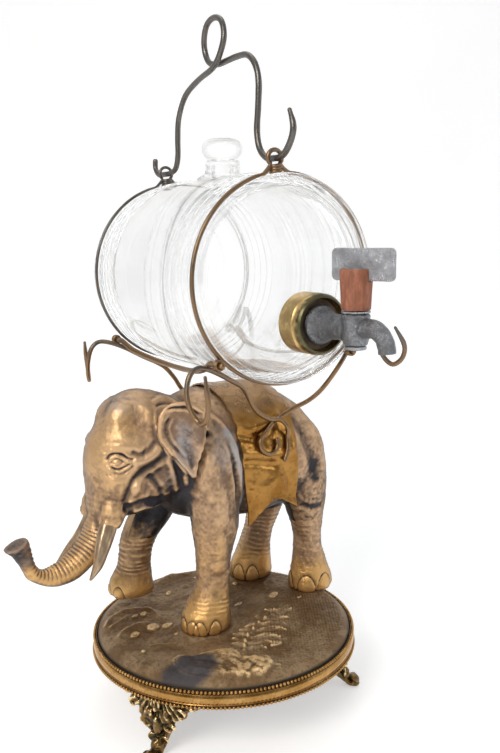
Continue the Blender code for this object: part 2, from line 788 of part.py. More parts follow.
def build_base(stand, elephant_at):
    shoulder = DISC_RADIUS - DISC_SHOULDER
    disc = solid(
        "base_disc",
        turned(
            (
                (0, RING_TOP_HEIGHT + DISC_RISE),
                (shoulder, RING_TOP_HEIGHT + DISC_RISE),
                (shoulder + DISC_SHOULDER * 0.6, RING_TOP_HEIGHT + DISC_RISE * 0.65),
                (DISC_RADIUS, RING_TOP_HEIGHT),
                (DISC_RADIUS, RING_TOP_HEIGHT - DISC_THICKNESS),
                (shoulder, RING_TOP_HEIGHT - DISC_THICKNESS),
                (shoulder, RING_TOP_HEIGHT),
                (0, RING_TOP_HEIGHT),
            ),
            BASE_SIDES,
        ),
        "dark_bronze",
        stand,
    )
    bottom = RING_TOP_HEIGHT - RING_HEIGHT
    inside = DISC_RADIUS + GAP
    solid(
        "beaded_ring",
        turned(
            (
                (inside, RING_TOP_HEIGHT - RING_BEAD),
                (inside + RING_BEAD, RING_TOP_HEIGHT),
                (inside + 2 * RING_BEAD, RING_TOP_HEIGHT - RING_BEAD),
                (inside + RING_BEAD, RING_TOP_HEIGHT - 2 * RING_BEAD),
                (inside + RING_BEAD, RING_TOP_HEIGHT - 4 * RING_BEAD),
                (RING_RADIUS - RING_BEAD, RING_TOP_HEIGHT - 5 * RING_BEAD),
                (RING_RADIUS - RING_BEAD, bottom + 2 * RING_BEAD),
                (RING_RADIUS, bottom + RING_BEAD),
                (RING_RADIUS - RING_BEAD, bottom),
                (inside, bottom),
                (inside, ledge_bottom()),
                (inside - RING_LEDGE_WIDTH, ledge_bottom()),
                (inside - RING_LEDGE_WIDTH, ledge_top()),
                (inside, ledge_top()),
            ),
            BASE_SIDES,
        ),
        "gilt_brass",
        stand,
    )
    ring = bpy.data.objects["beaded_ring"]
    for i in range(FOOT_COUNT):
        turn, place = foot_place(i)
        foot = solid(f"base_foot_{i + 1}", base_foot(), "gilt_brass", stand)
        foot.location = place
        foot.rotation_euler = (0, 0, turn)
        hole_low = ledge_bottom() - FOOT_SCREW_DEPTH - GAP
        hole = cylinder(FOOT_SCREW_RADIUS + GAP, hole_low, ledge_top() + OVERRUN, 12)
        room = cutter(f"screw_hole_{i + 1}", moved(hole, place), stand)
        cut(foot, room)
        cut(ring, room)
        head_room = cylinder(
            FOOT_SCREW_HEAD_RADIUS + GAP,
            ledge_top(),
            ledge_top() + FOOT_SCREW_HEAD_HEIGHT + 2 * GAP,
            12,
        )
        cut(disc, cutter(f"screw_head_room_{i + 1}", moved(head_room, place), stand))
        solid(f"foot_screw_{i + 1}", moved(foot_screw(), place), "gilt_brass", stand)
    add_leg_fixings(stand, elephant_at, disc)


def foot_screw():
    low = ledge_bottom() - FOOT_SCREW_DEPTH
    shaft_top = ledge_top() + GAP
    return turned(
        (
            (0, low),
            (FOOT_SCREW_RADIUS, low),
            (FOOT_SCREW_RADIUS, shaft_top),
            (FOOT_SCREW_HEAD_RADIUS, shaft_top),
            (FOOT_SCREW_HEAD_RADIUS, shaft_top + FOOT_SCREW_HEAD_HEIGHT),
            (0, shaft_top + FOOT_SCREW_HEAD_HEIGHT),
        ),
        12,
    )


def stud_reach():
    """How far from the middle of the disc a nut still fits inside its rim."""
    return DISC_RADIUS - DISC_SHOULDER - LEG_NUT_RADIUS - 2 * GAP


def stud_place(name, elephant_at):
    sole = LEG_SHARES[name][0]
    turn = Matrix.Rotation(ELEPHANT_TURN, 4, "Z")
    place = turn @ Vector((part_size(sole[1]), part_size(sole[2]), 0)) + Vector(elephant_at)
    place.z = 0
    return place * min(1, stud_reach() / place.length)


def add_leg_fixings(stand, elephant_at, disc):
    """Studs up into the three standing legs, with nuts under the disc."""
    top = RING_TOP_HEIGHT + DISC_RISE + GAP
    under = RING_TOP_HEIGHT
    low = under - LEG_NUT_HEIGHT - 2 * GAP
    for name in STANDING_LEGS:
        place = stud_place(name, elephant_at)
        limb = name.removeprefix("leg_")
        stud = cylinder(LEG_STUD_RADIUS, low - GAP, top + LEG_STUD_DEPTH, 12)
        solid(f"stud_{limb}", moved(stud, place), "gilt_brass", stand)
        hole = moved(cylinder(LEG_STUD_RADIUS + GAP, under - OVERRUN, top + OVERRUN, 12), place)
        cut(disc, cutter(f"stud_hole_disc_{name}", hole, stand))
        nut = turned(
            (
                (LEG_STUD_RADIUS + GAP, under - GAP - LEG_NUT_HEIGHT),
                (LEG_NUT_RADIUS, under - GAP - LEG_NUT_HEIGHT),
                (LEG_NUT_RADIUS, under - GAP),
                (LEG_STUD_RADIUS + GAP, under - GAP),
            ),
            6,
        )
        solid(f"nut_{limb}", moved(nut, place), "gilt_brass", stand)


def base_foot():
    """Cast foot: a wide leafy head that narrows to an ankle and turns out to a toe."""
    height = ledge_bottom() - GAP
    rings = []
    for up, out, half_width, half_depth in FOOT_SHARES:
        middle = Vector((out * FOOT_SPLAY, 0, up * height))
        depth = half_depth * FOOT_DEPTH
        rings.append(oval(middle, Vector((1, 0, 0)), Vector((0, 1, 0)), depth, half_width * FOOT_WIDTH, 12))
    return loft(rings)


def groove_radius():
    return BARREL_BELLY_RADIUS - BARREL_GROOVE_DROP


def face_radius():
    return BARREL_BELLY_RADIUS - BARREL_FACE_DROP


def barrel_outline():
    """Outer radius of the glass at places from its middle to its end."""

    def belly(at):
        return BARREL_BELLY_RADIUS - BARREL_GROOVE_DROP * (at / BARREL_GROOVE_AT) ** 2

    points = [(0, BARREL_BELLY_RADIUS), (RIB_FIRST_AT / 2, belly(RIB_FIRST_AT / 2))]
    for i in range(RIB_COUNT):
        at = RIB_FIRST_AT + i * RIB_STEP
        points.append((at - RIB_WIDTH / 2, belly(at)))
        points.append((at, belly(at) + RIB_HEIGHT))
        points.append((at + RIB_WIDTH / 2, belly(at)))
    points.append((BARREL_GROOVE_AT, groove_radius()))
    points.append((BARREL_GROOVE_AT + HOOP_WIRE / 2 + GAP, groove_radius()))
    rim_radius = BARREL_BELLY_RADIUS - BARREL_RIM_DROP
    points.append((BARREL_RIM_AT, rim_radius + RIB_HEIGHT))
    step_at = (BARREL_RIM_AT + BARREL_HALF_LENGTH) / 2
    points.append((step_at, rim_radius - RIB_HEIGHT))
    points.append((step_at + RIB_HEIGHT, BARREL_BELLY_RADIUS - BARREL_STEP_DROP))
    points.append((BARREL_HALF_LENGTH, face_radius()))
    return points


def build_barrel(middle):
    half = barrel_outline()
    outer = [(radius, -at) for at, radius in reversed(half)] + [(radius, at) for at, radius in half[1:]]
    outer = [(0, -BARREL_HALF_LENGTH)] + outer + [(0, BARREL_HALF_LENGTH)]
    glass = solid("glass_barrel", lay_along_y(turned(outer, BARREL_SIDES)), "clear_glass", middle)
    neck_low = BARREL_BELLY_RADIUS - BARREL_WALL / 2
    neck_top = BARREL_BELLY_RADIUS + NECK_HEIGHT
    neck = turned(
        (
            (0, neck_low),
            (NECK_FLARE_RADIUS, neck_low),
            (NECK_FLARE_RADIUS, BARREL_BELLY_RADIUS),
            (NECK_RADIUS, BARREL_BELLY_RADIUS + NECK_HEIGHT * 0.4),
            (NECK_RADIUS, neck_top),
            (0, neck_top),
        ),
        24,
    )
    join(glass, cutter("neck_shape", neck, middle))
    hollow_end = BARREL_HALF_LENGTH - BARREL_END_WALL
    belly_in = BARREL_BELLY_RADIUS - BARREL_WALL
    end_in = groove_radius() - BARREL_WALL
    hollow = turned(
        (
            (0, -hollow_end),
            (face_radius() - BARREL_WALL, -hollow_end),
            (end_in, -BARREL_GROOVE_AT),
            (belly_in, -RIB_FIRST_AT / 2),
            (belly_in, RIB_FIRST_AT / 2),
            (end_in, BARREL_GROOVE_AT),
            (face_radius() - BARREL_WALL, hollow_end),
            (0, hollow_end),
        ),
        BARREL_SIDES,
    )
    cut(glass, cutter("hollow_shape", lay_along_y(hollow), middle))
    bore = turned(
        (
            (0, belly_in - BARREL_WALL),
            (NECK_BORE_RADIUS - STOPPER_PLUG_TAPER, belly_in - BARREL_WALL),
            (NECK_BORE_RADIUS, neck_top),
            (NECK_BORE_RADIUS, neck_top + OVERRUN),
            (0, neck_top + OVERRUN),
        ),
        24,
    )
    mouth_low = BARREL_HALF_LENGTH - 2 * BARREL_END_WALL
    mouth = lay_along_y(cylinder(MOUTH_RADIUS, mouth_low, BARREL_HALF_LENGTH + OVERRUN, 24))
    cut(glass, cutter("neck_bore", bore, middle))
    cut(glass, cutter("tap_mouth", moved(mouth, (TAP_SIDE, 0, -TAP_DROP)), middle))
    build_stopper(middle, neck_top)


def build_stopper(middle, neck_top):
    lift = empty("stopper_lift", (0, 0, neck_top + GAP), middle)
    knob_low = STOPPER_FLANGE_HEIGHT
    knob_middle = knob_low + STOPPER_KNOB_HEIGHT / 2
    profile = [(0, -STOPPER_PLUG_LENGTH)]
    profile.append((NECK_BORE_RADIUS - 2 * STOPPER_PLUG_TAPER - GAP, -STOPPER_PLUG_LENGTH))
    profile.append((NECK_BORE_RADIUS - STOPPER_PLUG_TAPER / 2 - GAP, 0))
    profile.append((NECK_RADIUS, 0))
    profile.append((NECK_RADIUS, STOPPER_FLANGE_HEIGHT))
    for i in range(1, 8):
        turn = -math.pi / 2 + math.pi * i / 8
        radius = STOPPER_KNOB_RADIUS * math.cos(turn)
        profile.append((radius, knob_middle + STOPPER_KNOB_HEIGHT / 2 * math.sin(turn)))
    profile.append((0, knob_low + STOPPER_KNOB_HEIGHT))
    solid("glass_stopper", turned(profile, 20), "clear_glass", lift)


def build_tap(middle):
    """Collar and bung on the barrel's front end, and the tap in them. Its frame sits on the glass face."""
    seat = empty("tap_seat", (TAP_SIDE, -BARREL_HALF_LENGTH - GAP, -TAP_DROP), middle)
    collar = turned(
        (
            (COLLAR_BORE_RADIUS, 0),
            (COLLAR_RADIUS, 0),
            (COLLAR_RADIUS, COLLAR_LENGTH - 4 * COLLAR_LIP),
            (COLLAR_RADIUS - COLLAR_LIP, COLLAR_LENGTH - 3 * COLLAR_LIP),
            (COLLAR_RADIUS - COLLAR_LIP / 2, COLLAR_LENGTH - 2 * COLLAR_LIP),
            (COLLAR_RADIUS - COLLAR_LIP, COLLAR_LENGTH),
            (COLLAR_BORE_RADIUS, COLLAR_LENGTH),
        ),
        26,
    )
    solid("tap_collar", lay_along_y(collar), "aged_brass", seat)
    bung = turned(
        (
            (TAP_SHANK_RADIUS + GAP, -BARREL_END_WALL),
            (MOUTH_RADIUS - GAP, -BARREL_END_WALL),
            (MOUTH_RADIUS - GAP, 0),
            (COLLAR_BORE_RADIUS - GAP, 0),
            (COLLAR_BORE_RADIUS - GAP, BUNG_LENGTH),
            (TAP_SHANK_RADIUS + GAP, BUNG_LENGTH),
        ),
        18,
    )
    solid("cork_bung", lay_along_y(bung), "cork", seat)
    flange_at = BUNG_LENGTH + GAP
    body = turned(
        (
            (0, flange_at - TAP_SHANK_LENGTH),
            (TAP_SHANK_RADIUS, flange_at - TAP_SHANK_LENGTH),
            (TAP_SHANK_RADIUS, flange_at),
            (TAP_FLANGE_RADIUS, flange_at),
            (TAP_FLANGE_RADIUS, flange_at + TAP_FLANGE_THICKNESS),
            (TAP_NECK_RADIUS, flange_at + 2 * TAP_FLANGE_THICKNESS),
            (TAP_NECK_RADIUS * 0.8, COLLAR_LENGTH + TAP_REACH),
            (0, COLLAR_LENGTH + TAP_REACH),
        ),
        20,
    )
    tap = solid("tap_body", lay_along_y(body), "pewter", seat)
    plug_at = COLLAR_LENGTH + TAP_REACH
    housing = cylinder(TAP_HOUSING_RADIUS, -TAP_HOUSING_HEIGHT / 2, TAP_HOUSING_HEIGHT / 2, 18)
    spout_line = [
        (0, -plug_at - TAP_BORE_RADIUS, 0),
        (0, -plug_at - TAP_SPOUT_REACH * 0.35, TAP_SPOUT_RADIUS * 0.3),
        (0, -plug_at - TAP_SPOUT_REACH * 0.62, TAP_SPOUT_RADIUS * 0.35),
        (0, -plug_at - TAP_SPOUT_REACH * 0.86, -TAP_SPOUT_DROP * 0.15),
        (0, -plug_at - TAP_SPOUT_REACH * 0.98, -TAP_SPOUT_DROP * 0.55),
        (0, -plug_at - TAP_SPOUT_REACH, -TAP_SPOUT_DROP),
    ]
    spout_line = smooth_rows(spout_line, 2)
    spout = loft(horn_x_rings(spout_line, TAP_SPOUT_RADIUS, 12))
    join(tap, cutter("housing_shape", moved(housing, (0, -plug_at, 0)), seat))
    join(tap, cutter("spout_shape", spout, seat))
    plug_room = cylinder(PLUG_RADIUS + GAP, -TAP_HOUSING_HEIGHT, TAP_HOUSING_HEIGHT, 20)
    moved(plug_room, (0, -plug_at, 0))
    inlet = cylinder(TAP_BORE_RADIUS, flange_at - TAP_SHANK_LENGTH - OVERRUN, plug_at - TAP_BORE_RADIUS, 8)
    lay_along_y(inlet)
    tip = Vector(spout_line[-1])
    outlet_line = spout_line + [tuple(tip - Vector((0, 0, OVERRUN)))]
    outlet = loft(horn_x_rings(outlet_line, TAP_BORE_RADIUS, 8))
    room = cutter("plug_room", plug_room, seat)
    join(room, cutter("inlet_bore", inlet, seat), cutter("outlet_bore", outlet, seat))
    cut(tap, room)
    build_key(empty("tap_turn", (0, -plug_at, 0), seat, KEY_TURN))


def horn_x_rings(points, radius, sides):
    """Rings square to a bent pipe that lies in a plane of constant x."""
    places = [Vector(point) for point in points]
    rings = []
    for i, place in enumerate(places):
        ahead = places[min(i + 1, len(places) - 1)] - places[max(i - 1, 0)]
        across = Vector((1, 0, 0))
        along = across.cross(ahead).normalized()
        rings.append(oval(place, along, across, radius, radius, sides))
    return rings


def build_key(axis):
    """Plug with its stem and flat key, the sleeve round the stem, and the retainer under the plug."""
    top = TAP_HOUSING_HEIGHT / 2
    low = -top - RETAINER_HEIGHT - 3 * GAP
    sleeve_low = top + GAP + PLUG_COLLAR_HEIGHT + GAP
    key_low = sleeve_low + SLEEVE_HEIGHT - SLEEVE_OVER_KEY
    plug = turned(
        (
            (0, low),
            (PLUG_STEM_RADIUS * 0.6, low),
            (PLUG_STEM_RADIUS * 0.6, -top - GAP / 2),
            (PLUG_RADIUS, -top - GAP / 2),
            (PLUG_RADIUS, top + GAP),
            (SLEEVE_FOOT_RADIUS, top + GAP),
            (SLEEVE_FOOT_RADIUS * 0.9, top + GAP + PLUG_COLLAR_HEIGHT),
            (PLUG_STEM_RADIUS, top + GAP + PLUG_COLLAR_HEIGHT),
            (PLUG_STEM_RADIUS, key_low + KEY_THICKNESS),
            (0, key_low + KEY_THICKNESS),
        ),
        20,
    )
    key = solid("tap_plug_key", plug, "pewter", axis)
    join(key, cutter("key_plate_shape", key_plate(key_low, 0), axis))
    way = lay_along_y(cylinder(TAP_BORE_RADIUS, -TAP_HOUSING_RADIUS, TAP_HOUSING_RADIUS, 12))
    bmesh.ops.rotate(way, verts=way.verts, matrix=Matrix.Rotation(math.radians(90), 3, "Z"))
    cut(key, cutter("plug_way", way, axis))
    sleeve = turned(
        (
            (PLUG_STEM_RADIUS + GAP, sleeve_low),
            (SLEEVE_FOOT_RADIUS, sleeve_low),
            (SLEEVE_RADIUS, sleeve_low + SLEEVE_HEIGHT),
            (PLUG_STEM_RADIUS + GAP, sleeve_low + SLEEVE_HEIGHT),
        ),
        16,
    )
    sleeve = solid("key_sleeve", sleeve, "rust_sleeve", axis)
    cut(sleeve, cutter("key_slot", key_plate(key_low, GAP), axis))
    retainer = turned(
        (
            (PLUG_STEM_RADIUS * 0.6 + GAP, -top - GAP - RETAINER_HEIGHT),
            (RETAINER_RADIUS, -top - GAP - RETAINER_HEIGHT),
            (RETAINER_RADIUS, -top - GAP),
            (PLUG_STEM_RADIUS * 0.6 + GAP, -top - GAP),
        ),
        16,
    )
    solid("plug_retainer", retainer, "pewter", axis)


def key_plate(low, grow):
    """Flat key with rounded corners, its width along X."""
    bm = bmesh.new()
    corners = []
    for turn, side, up in ((0, 1, 1), (90, -1, 1), (180, -1, 0), (270, 1, 0)):
        for i in range(4):
            angle = math.radians(turn + 30 * i)
            x = KEY_SHIFT + side * (KEY_WIDTH / 2 - KEY_CORNER) + (KEY_CORNER + grow) * math.cos(angle)
            z = low + KEY_CORNER + up * (KEY_HEIGHT - 2 * KEY_CORNER) + (KEY_CORNER + grow) * math.sin(angle)
            corners.append((x, z))
    half = KEY_THICKNESS / 2 + grow
    front = [bm.verts.new((x, -half, z)) for x, z in corners]
    back = [bm.verts.new((x, half, z)) for x, z in corners]
    bm.faces.new(front)
    bm.faces.new(list(reversed(back)))
    for i in range(len(corners)):
        j = (i + 1) % len(corners)
        bm.faces.new((front[j], front[i], back[i], back[j]))
    return bm


def hoop_radius():
    return groove_radius() + GAP + HOOP_WIRE / 2


def eye_radius():
    return EYE_BORE_RADIUS + HOOP_WIRE / 2


def eye_distance():
    """From the barrel axis to the handle's pivot."""
    return hoop_radius() + 1.6 * eye_radius()


def rail_radius():
    return hoop_radius() + (HOOP_WIRE + RAIL_WIRE) / 2 + GAP


def round_barrel(radius, turn, y):
    """Place at an angle from the barrel's top, towards -X where the angle is positive."""
    return Vector((-radius * math.sin(turn), y, radius * math.cos(turn)))


def rail_spot(side, y):
    """Middle of a rail: straight past the hoops, and sagging between them."""
    along = min(abs(y) / (BARREL_GROOVE_AT - 2 * HOOP_WIRE), 1)
    bow = 1 - along**2
    turn = side * (math.pi - RAIL_TURN + RAIL_SAG_TURN * bow)
    past_ribs = BARREL_BELLY_RADIUS + RIB_HEIGHT + 4 * GAP + RAIL_WIRE / 2
    radius = rail_radius() + (past_ribs - rail_radius()) * min(3 * bow, 1)
    return round_barrel(radius, turn, y)


def hoop_points(y):
    """Hoop round the barrel that rises into an eye for the handle."""
    stem = math.radians(9)
    eye = round_barrel(eye_distance(), EYE_TURN, y)
    outward = round_barrel(1, EYE_TURN, 0)
    sideways = round_barrel(1, EYE_TURN + math.pi / 2, 0)
    points = []
    for i in range(37):
        turn = EYE_TURN + stem + (math.tau - 2 * stem) * i / 36
        points.append(round_barrel(hoop_radius(), turn, y))
    for i in range(11):
        turn = math.radians(-130 + 260 * i / 10)
        points.append(eye + (outward * math.cos(turn) + sideways * math.sin(turn)) * eye_radius())
    return points


def build_cradle(middle, elephant_stand, root):
    for name, y in (("front_hoop", -BARREL_GROOVE_AT), ("rear_hoop", BARREL_GROOVE_AT)):
        wire(name, hoop_points(y), HOOP_WIRE, "steel_wire", middle, closed=True)
    for hand, side in (("head_side", 1), ("tail_side", -1)):
        reach = BARREL_GROOVE_AT + RAIL_OVERHANG
        points = [rail_spot(side, reach * (i / 10 - 1)) for i in range(21)]
        wire(f"cradle_rail_{hand}", points, RAIL_WIRE, "brassy_wire", middle)
        for flank, y in (("front", -1), ("rear", 1)):
            at = y * (BARREL_GROOVE_AT + HOOP_WIRE / 2 + BINDING_WIRE)
            place = rail_spot(side, at)
            solid(f"binding_{flank}_{hand}", binding_ring(place), "brassy_wire", middle)
    for near, flank in ((-1, "front"), (1, "rear")):
        build_strut(f"hook_wire_{flank}_head_side", near, 1, middle, elephant_stand, root)
        build_strut(f"hook_wire_{flank}_tail_side", near, -1, middle, elephant_stand, root)


def binding_ring(place):
    bm = bmesh.new()
    half = BINDING_WIRE / 2
    radius = RAIL_WIRE / 2 + GAP + half
    rings = []
    for i in range(10):
        turn = math.tau * i / 10
        outward = Vector((math.cos(turn), 0, math.sin(turn)))
        ring = oval(place + outward * radius, outward, Vector((0, 1, 0)), half, half, 5)
        rings.append([bm.verts.new(point) for point in ring])
    for i in range(10):
        first, second = rings[i], rings[(i + 1) % 10]
        for j in range(5):
            k = (j + 1) % 5
            bm.faces.new((first[j], first[k], second[k], second[j]))
    return bm


def strut_foot(near, side):
    """Places of a strut's foot on the saddle in the elephant's frame. At the tail side it ends in an eye."""
    half = STRUT_WIRE / 2
    over = half + STRUT_WIRE + GAP
    shares = HEAD_FOOT_SHARES if side == 1 else TAIL_FOOT_SHARES
    foot = []
    for x, z, crosses in shares:
        foot.append(on_saddle(near, part_size(x), part_size(z), over if crosses else half))
    if side == 1:
        return foot
    eye_x, eye_z = (part_size(value) for value in SADDLE_EYE_SHARES)
    eye = []
    for turn in map(math.radians, SADDLE_EYE_TURNS):
        x = eye_x + SADDLE_EYE_RADIUS * math.cos(turn)
        eye.append(on_saddle(near, x, eye_z + SADDLE_EYE_RADIUS * math.sin(turn), half))
    return eye + foot


def build_strut(name, near, side, middle, elephant_stand, root):
    """Wire from the saddle up under the rail to a cup hook. near is -1 in front, side is 1 at the head."""
    turn = Matrix.Rotation(ELEPHANT_TURN, 4, "Z")
    points = [turn @ place + elephant_stand.location for place in strut_foot(near, side)]
    start = points[-1]
    past = Vector((0, 0, -1)) if side == 1 else Vector((1, 0, 0))
    under_rail = rail_spot(side, near * (BARREL_GROOVE_AT - HOOP_WIRE)) + middle.location
    under_rail = under_rail + past * ((RAIL_WIRE + STRUT_WIRE) / 2 + 2 * GAP)
    reach = under_rail - start
    for a, b, c in HEAD_STRUT_SHARES if side == 1 else TAIL_STRUT_SHARES:
        points.append(start + Vector((reach.x * a, reach.y * b, reach.z * c)))
    points.append(under_rail)
    for out, sideways, up in HEAD_HOOK_SHARES if side == 1 else TAIL_HOOK_SHARES:
        points.append(under_rail + Vector((-side * out, near * sideways, up)) * HOOK_SIZE)
    wire(name, smooth_rows([tuple(p) for p in points], WIRE_STEPS), STRUT_WIRE, "steel_wire", root)


def build_handle(middle):
    pivot = empty("handle_swing", round_barrel(eye_distance(), EYE_TURN, 0), middle)
    points = []
    for along, up, over in HANDLE_SHARES:
        points.append((over * (HANDLE_WIRE / 2 + GAP), along * BARREL_GROOVE_AT, up * HANDLE_RISE))
    wire("bail_handle", smooth_rows(points, WIRE_STEPS), HANDLE_WIRE, "steel_wire", pivot)


def bounds():
    """Corners of everything that shows, in world space."""
    bpy.context.view_layer.update()
    graph = bpy.context.evaluated_depsgraph_get()
    low = Vector((math.inf,) * 3)
    high = Vector((-math.inf,) * 3)
    for thing in bpy.context.scene.objects:
        if thing.type not in ("MESH", "CURVE") or thing.hide_render:
            continue
        shape = thing.evaluated_get(graph)
        mesh = shape.to_mesh()
        for corner in mesh.vertices:
            spot = shape.matrix_world @ corner.co
            low = Vector(map(min, low, spot))
            high = Vector(map(max, high, spot))
        shape.to_mesh_clear()
    return low, high


def main():
    clear_scene()
    root = empty("dispenser", (0, 0, 0))
    stand = empty("base", (0, 0, 0), root)
    elephant_at = (ELEPHANT_SHIFT_X, ELEPHANT_SHIFT_Y, RING_TOP_HEIGHT + DISC_RISE + GAP)
    elephant_stand = empty("elephant", elephant_at, root, ELEPHANT_TURN)
    build_base(stand, elephant_at)
    build_elephant(elephant_stand)
    barrel_height = elephant_at[2] + ELEPHANT_HEIGHT + BARREL_CLEARANCE + BARREL_BELLY_RADIUS
    middle = empty("barrel", (BARREL_SHIFT_X, BARREL_SHIFT_Y, barrel_height), root)
    build_barrel(middle)
    build_tap(middle)
    build_cradle(middle, elephant_stand, root)
    build_handle(middle)
    low, high = bounds()
    root.location = (-(low.x + high.x) / 2, -(low.y + high.y) / 2, 0)


main()
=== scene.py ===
"""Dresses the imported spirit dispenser: cast elephant, brass saddle, gilt base, glass barrel, wire cradle and tap.

Blender 4.5, metres, +Z up. The animal walks towards -X, the tap faces -Y.
Tables and skins are in thousandths of a metre, in their piece's own frame. The settings and the wires are in metres.
"""

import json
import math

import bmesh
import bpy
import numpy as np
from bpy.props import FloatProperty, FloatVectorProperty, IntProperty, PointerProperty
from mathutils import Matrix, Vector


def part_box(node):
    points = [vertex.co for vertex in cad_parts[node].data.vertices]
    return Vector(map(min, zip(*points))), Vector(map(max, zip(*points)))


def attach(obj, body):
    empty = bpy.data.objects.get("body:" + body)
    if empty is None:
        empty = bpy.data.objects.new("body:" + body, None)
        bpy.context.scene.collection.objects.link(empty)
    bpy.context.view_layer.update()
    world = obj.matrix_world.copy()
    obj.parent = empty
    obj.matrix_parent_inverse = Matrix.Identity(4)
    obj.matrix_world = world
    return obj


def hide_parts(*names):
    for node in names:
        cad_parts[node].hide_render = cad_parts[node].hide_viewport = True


bl_info = {
    "name": "Elephant spirit dispenser",
    "version": (1, 0, 0),
    "blender": (4, 5, 0),
    "location": "3D View > Sidebar > Dispenser",
    "description": "Builds the visible pieces of an elephant spirit dispenser on its packed frame",
    "category": "Add Mesh",
}

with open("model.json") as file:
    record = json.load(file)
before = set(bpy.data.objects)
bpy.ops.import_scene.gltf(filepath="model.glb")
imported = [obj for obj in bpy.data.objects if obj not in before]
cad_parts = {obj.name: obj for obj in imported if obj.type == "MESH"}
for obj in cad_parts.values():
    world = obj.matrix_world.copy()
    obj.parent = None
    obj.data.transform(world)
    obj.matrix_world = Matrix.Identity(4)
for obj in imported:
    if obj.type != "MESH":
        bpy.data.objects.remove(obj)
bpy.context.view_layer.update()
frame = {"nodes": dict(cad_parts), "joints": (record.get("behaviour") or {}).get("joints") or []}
THOUSANDTH = 0.001
# A direction that no wire and no casting follows
OFF_AXIS = (0.31, 0.17, 0.93)
# Values of the lattice noise, a power of two, and what picks one of them for each corner of a cell
NOISE_ROWS = 4096
NOISE_SHIFT = 1000.0
NOISE_PRIMES = (73856093, 19349663, 83492791)

# Places that the frame gives


def middle_of(node):
    low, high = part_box(node)
    return (low + high) / 2


def joint_place(name):
    return Vector(next(joint["pos_m"] for joint in frame["joints"] if joint["name"] == name))


BASE_PLACE = Vector((middle_of("beaded_ring").x, middle_of("beaded_ring").y, 0))
HANDLE_PLACE = joint_place("handle_swing")
KEY_PLACE = joint_place("tap_turn")

# Outlines of the animal, in parts of its height, as in the CAD model
ANIMAL_PARTS = 118
# Torso: x, top, underside, half width
TORSO = (
    (-44, 92, 74, 8), (-42, 101, 64, 15), (-36, 111.5, 56.5, 20.5), (-28, 116.5, 53, 24.5),
    (-18, 118.6, 50, 27), (-5, 117.6, 48, 28.8), (8, 118, 47, 30), (20, 116.6, 47, 30),
    (32, 111, 48, 29), (41, 103.8, 49, 26.6), (48.5, 94.8, 48, 23), (55, 84.5, 47, 18.6),
    (59.8, 73.5, 47, 13), (62, 65.5, 53, 7.4),
)
# Head and trunk: x and z of the front, x and z of the back, half width
HEAD = (
    (-24, 114.5, -24, 70, 19), (-34, 117, -33, 65, 20.5), (-43, 120.3, -41, 62.5, 20),
    (-52, 122.4, -48, 61.5, 19.5), (-61, 121, -53.5, 61, 19), (-68.5, 115.5, -57.5, 60.8, 18),
    (-73.5, 107, -60.5, 60.8, 17.2), (-78, 98.5, -63, 60.8, 15.6), (-79.8, 90, -65, 60.8, 13.4),
    (-79.2, 82, -66.6, 60.6, 11.6), (-79, 74, -68, 59.8, 10.2), (-80, 65.3, -69.6, 57.6, 9),
    (-83, 56.8, -72, 50.8, 8.2), (-88.5, 50, -78.5, 42.4, 7.4), (-95.5, 45.6, -89, 35.2, 6.4),
    (-103.5, 43.3, -101.5, 34.6, 5), (-107.8, 46.3, -111.8, 40.6, 4.2), (-109.4, 51.6, -115.4, 48.2, 3.8),
    (-110.2, 57.2, -118.6, 53.2, 4.6), (-111.2, 61, -122.4, 56.8, 5.6),
)
# Legs: z, x, y, half length, half width
LEGS = {
    "leg_front_left": (
        (0, -28.5, -20.6, 12.4, 11.2), (3, -28.6, -20.6, 13, 11.9), (8, -28.2, -20.6, 12.6, 11.4),
        (14, -26.5, -20.6, 10.6, 10), (22, -24, -20.4, 8.8, 8.7), (30, -23, -20.2, 8.7, 8.7),
        (40, -22.6, -20.2, 9.7, 9.5), (50, -21.2, -19.8, 12.2, 10.6), (62, -21, -19, 13.4, 11.4),
        (76, -21.5, -18, 13.8, 11.4), (88, -22, -17, 12.4, 10.4), (98, -22, -15.5, 9, 7.4),
    ),
    "leg_front_right": (
        (8.5, -46.8, 22.6, 11.6, 10.8), (11.5, -47, 22.6, 12.2, 11.4), (16, -47, 22.4, 11.4, 10.6),
        (23, -45.4, 22, 9.2, 9), (30, -44.4, 21.6, 8.7, 8.7), (37, -42.8, 21.2, 9.6, 9.3),
        (45, -38, 20.6, 11.4, 10.2), (54, -32, 20, 12.8, 11), (66, -26.5, 19, 13.4, 11.4),
        (78, -24, 18, 13, 11.2), (89, -22.5, 17, 11.2, 9.8), (98, -22, 15.5, 8, 7),
    ),
    "leg_rear_left": (
        (0, 45.5, -16.6, 12.2, 11), (3, 45.6, -16.6, 12.6, 11.6), (8, 45.2, -16.6, 11.8, 11),
        (15, 44.4, -16.6, 9.8, 9.4), (24, 43.4, -16.6, 8, 8.4), (32, 43, -16.4, 7.9, 8.2),
        (41, 42.6, -16, 9.8, 9.4), (52, 41.6, -15.6, 13, 11), (64, 40, -15.2, 15.4, 11.8),
        (76, 38.6, -14.8, 15, 11.4), (86, 37, -14, 11, 9.2),
    ),
    "leg_rear_right": (
        (0, 28.4, 16.6, 12, 11), (3, 28.4, 16.6, 12.6, 11.6), (8, 28.8, 16.6, 12, 11),
        (15, 30.4, 16.6, 10.2, 9.6), (24, 33.4, 16.6, 8.8, 8.6), (32, 36.6, 16.4, 9.2, 8.8),
        (41, 39, 16, 11.4, 10), (52, 39.6, 15.6, 13.8, 11.2), (64, 39.4, 15.2, 15.6, 12),
        (76, 38.8, 14.8, 15, 11.4), (86, 37, 14, 11, 9.2),
    ),
}
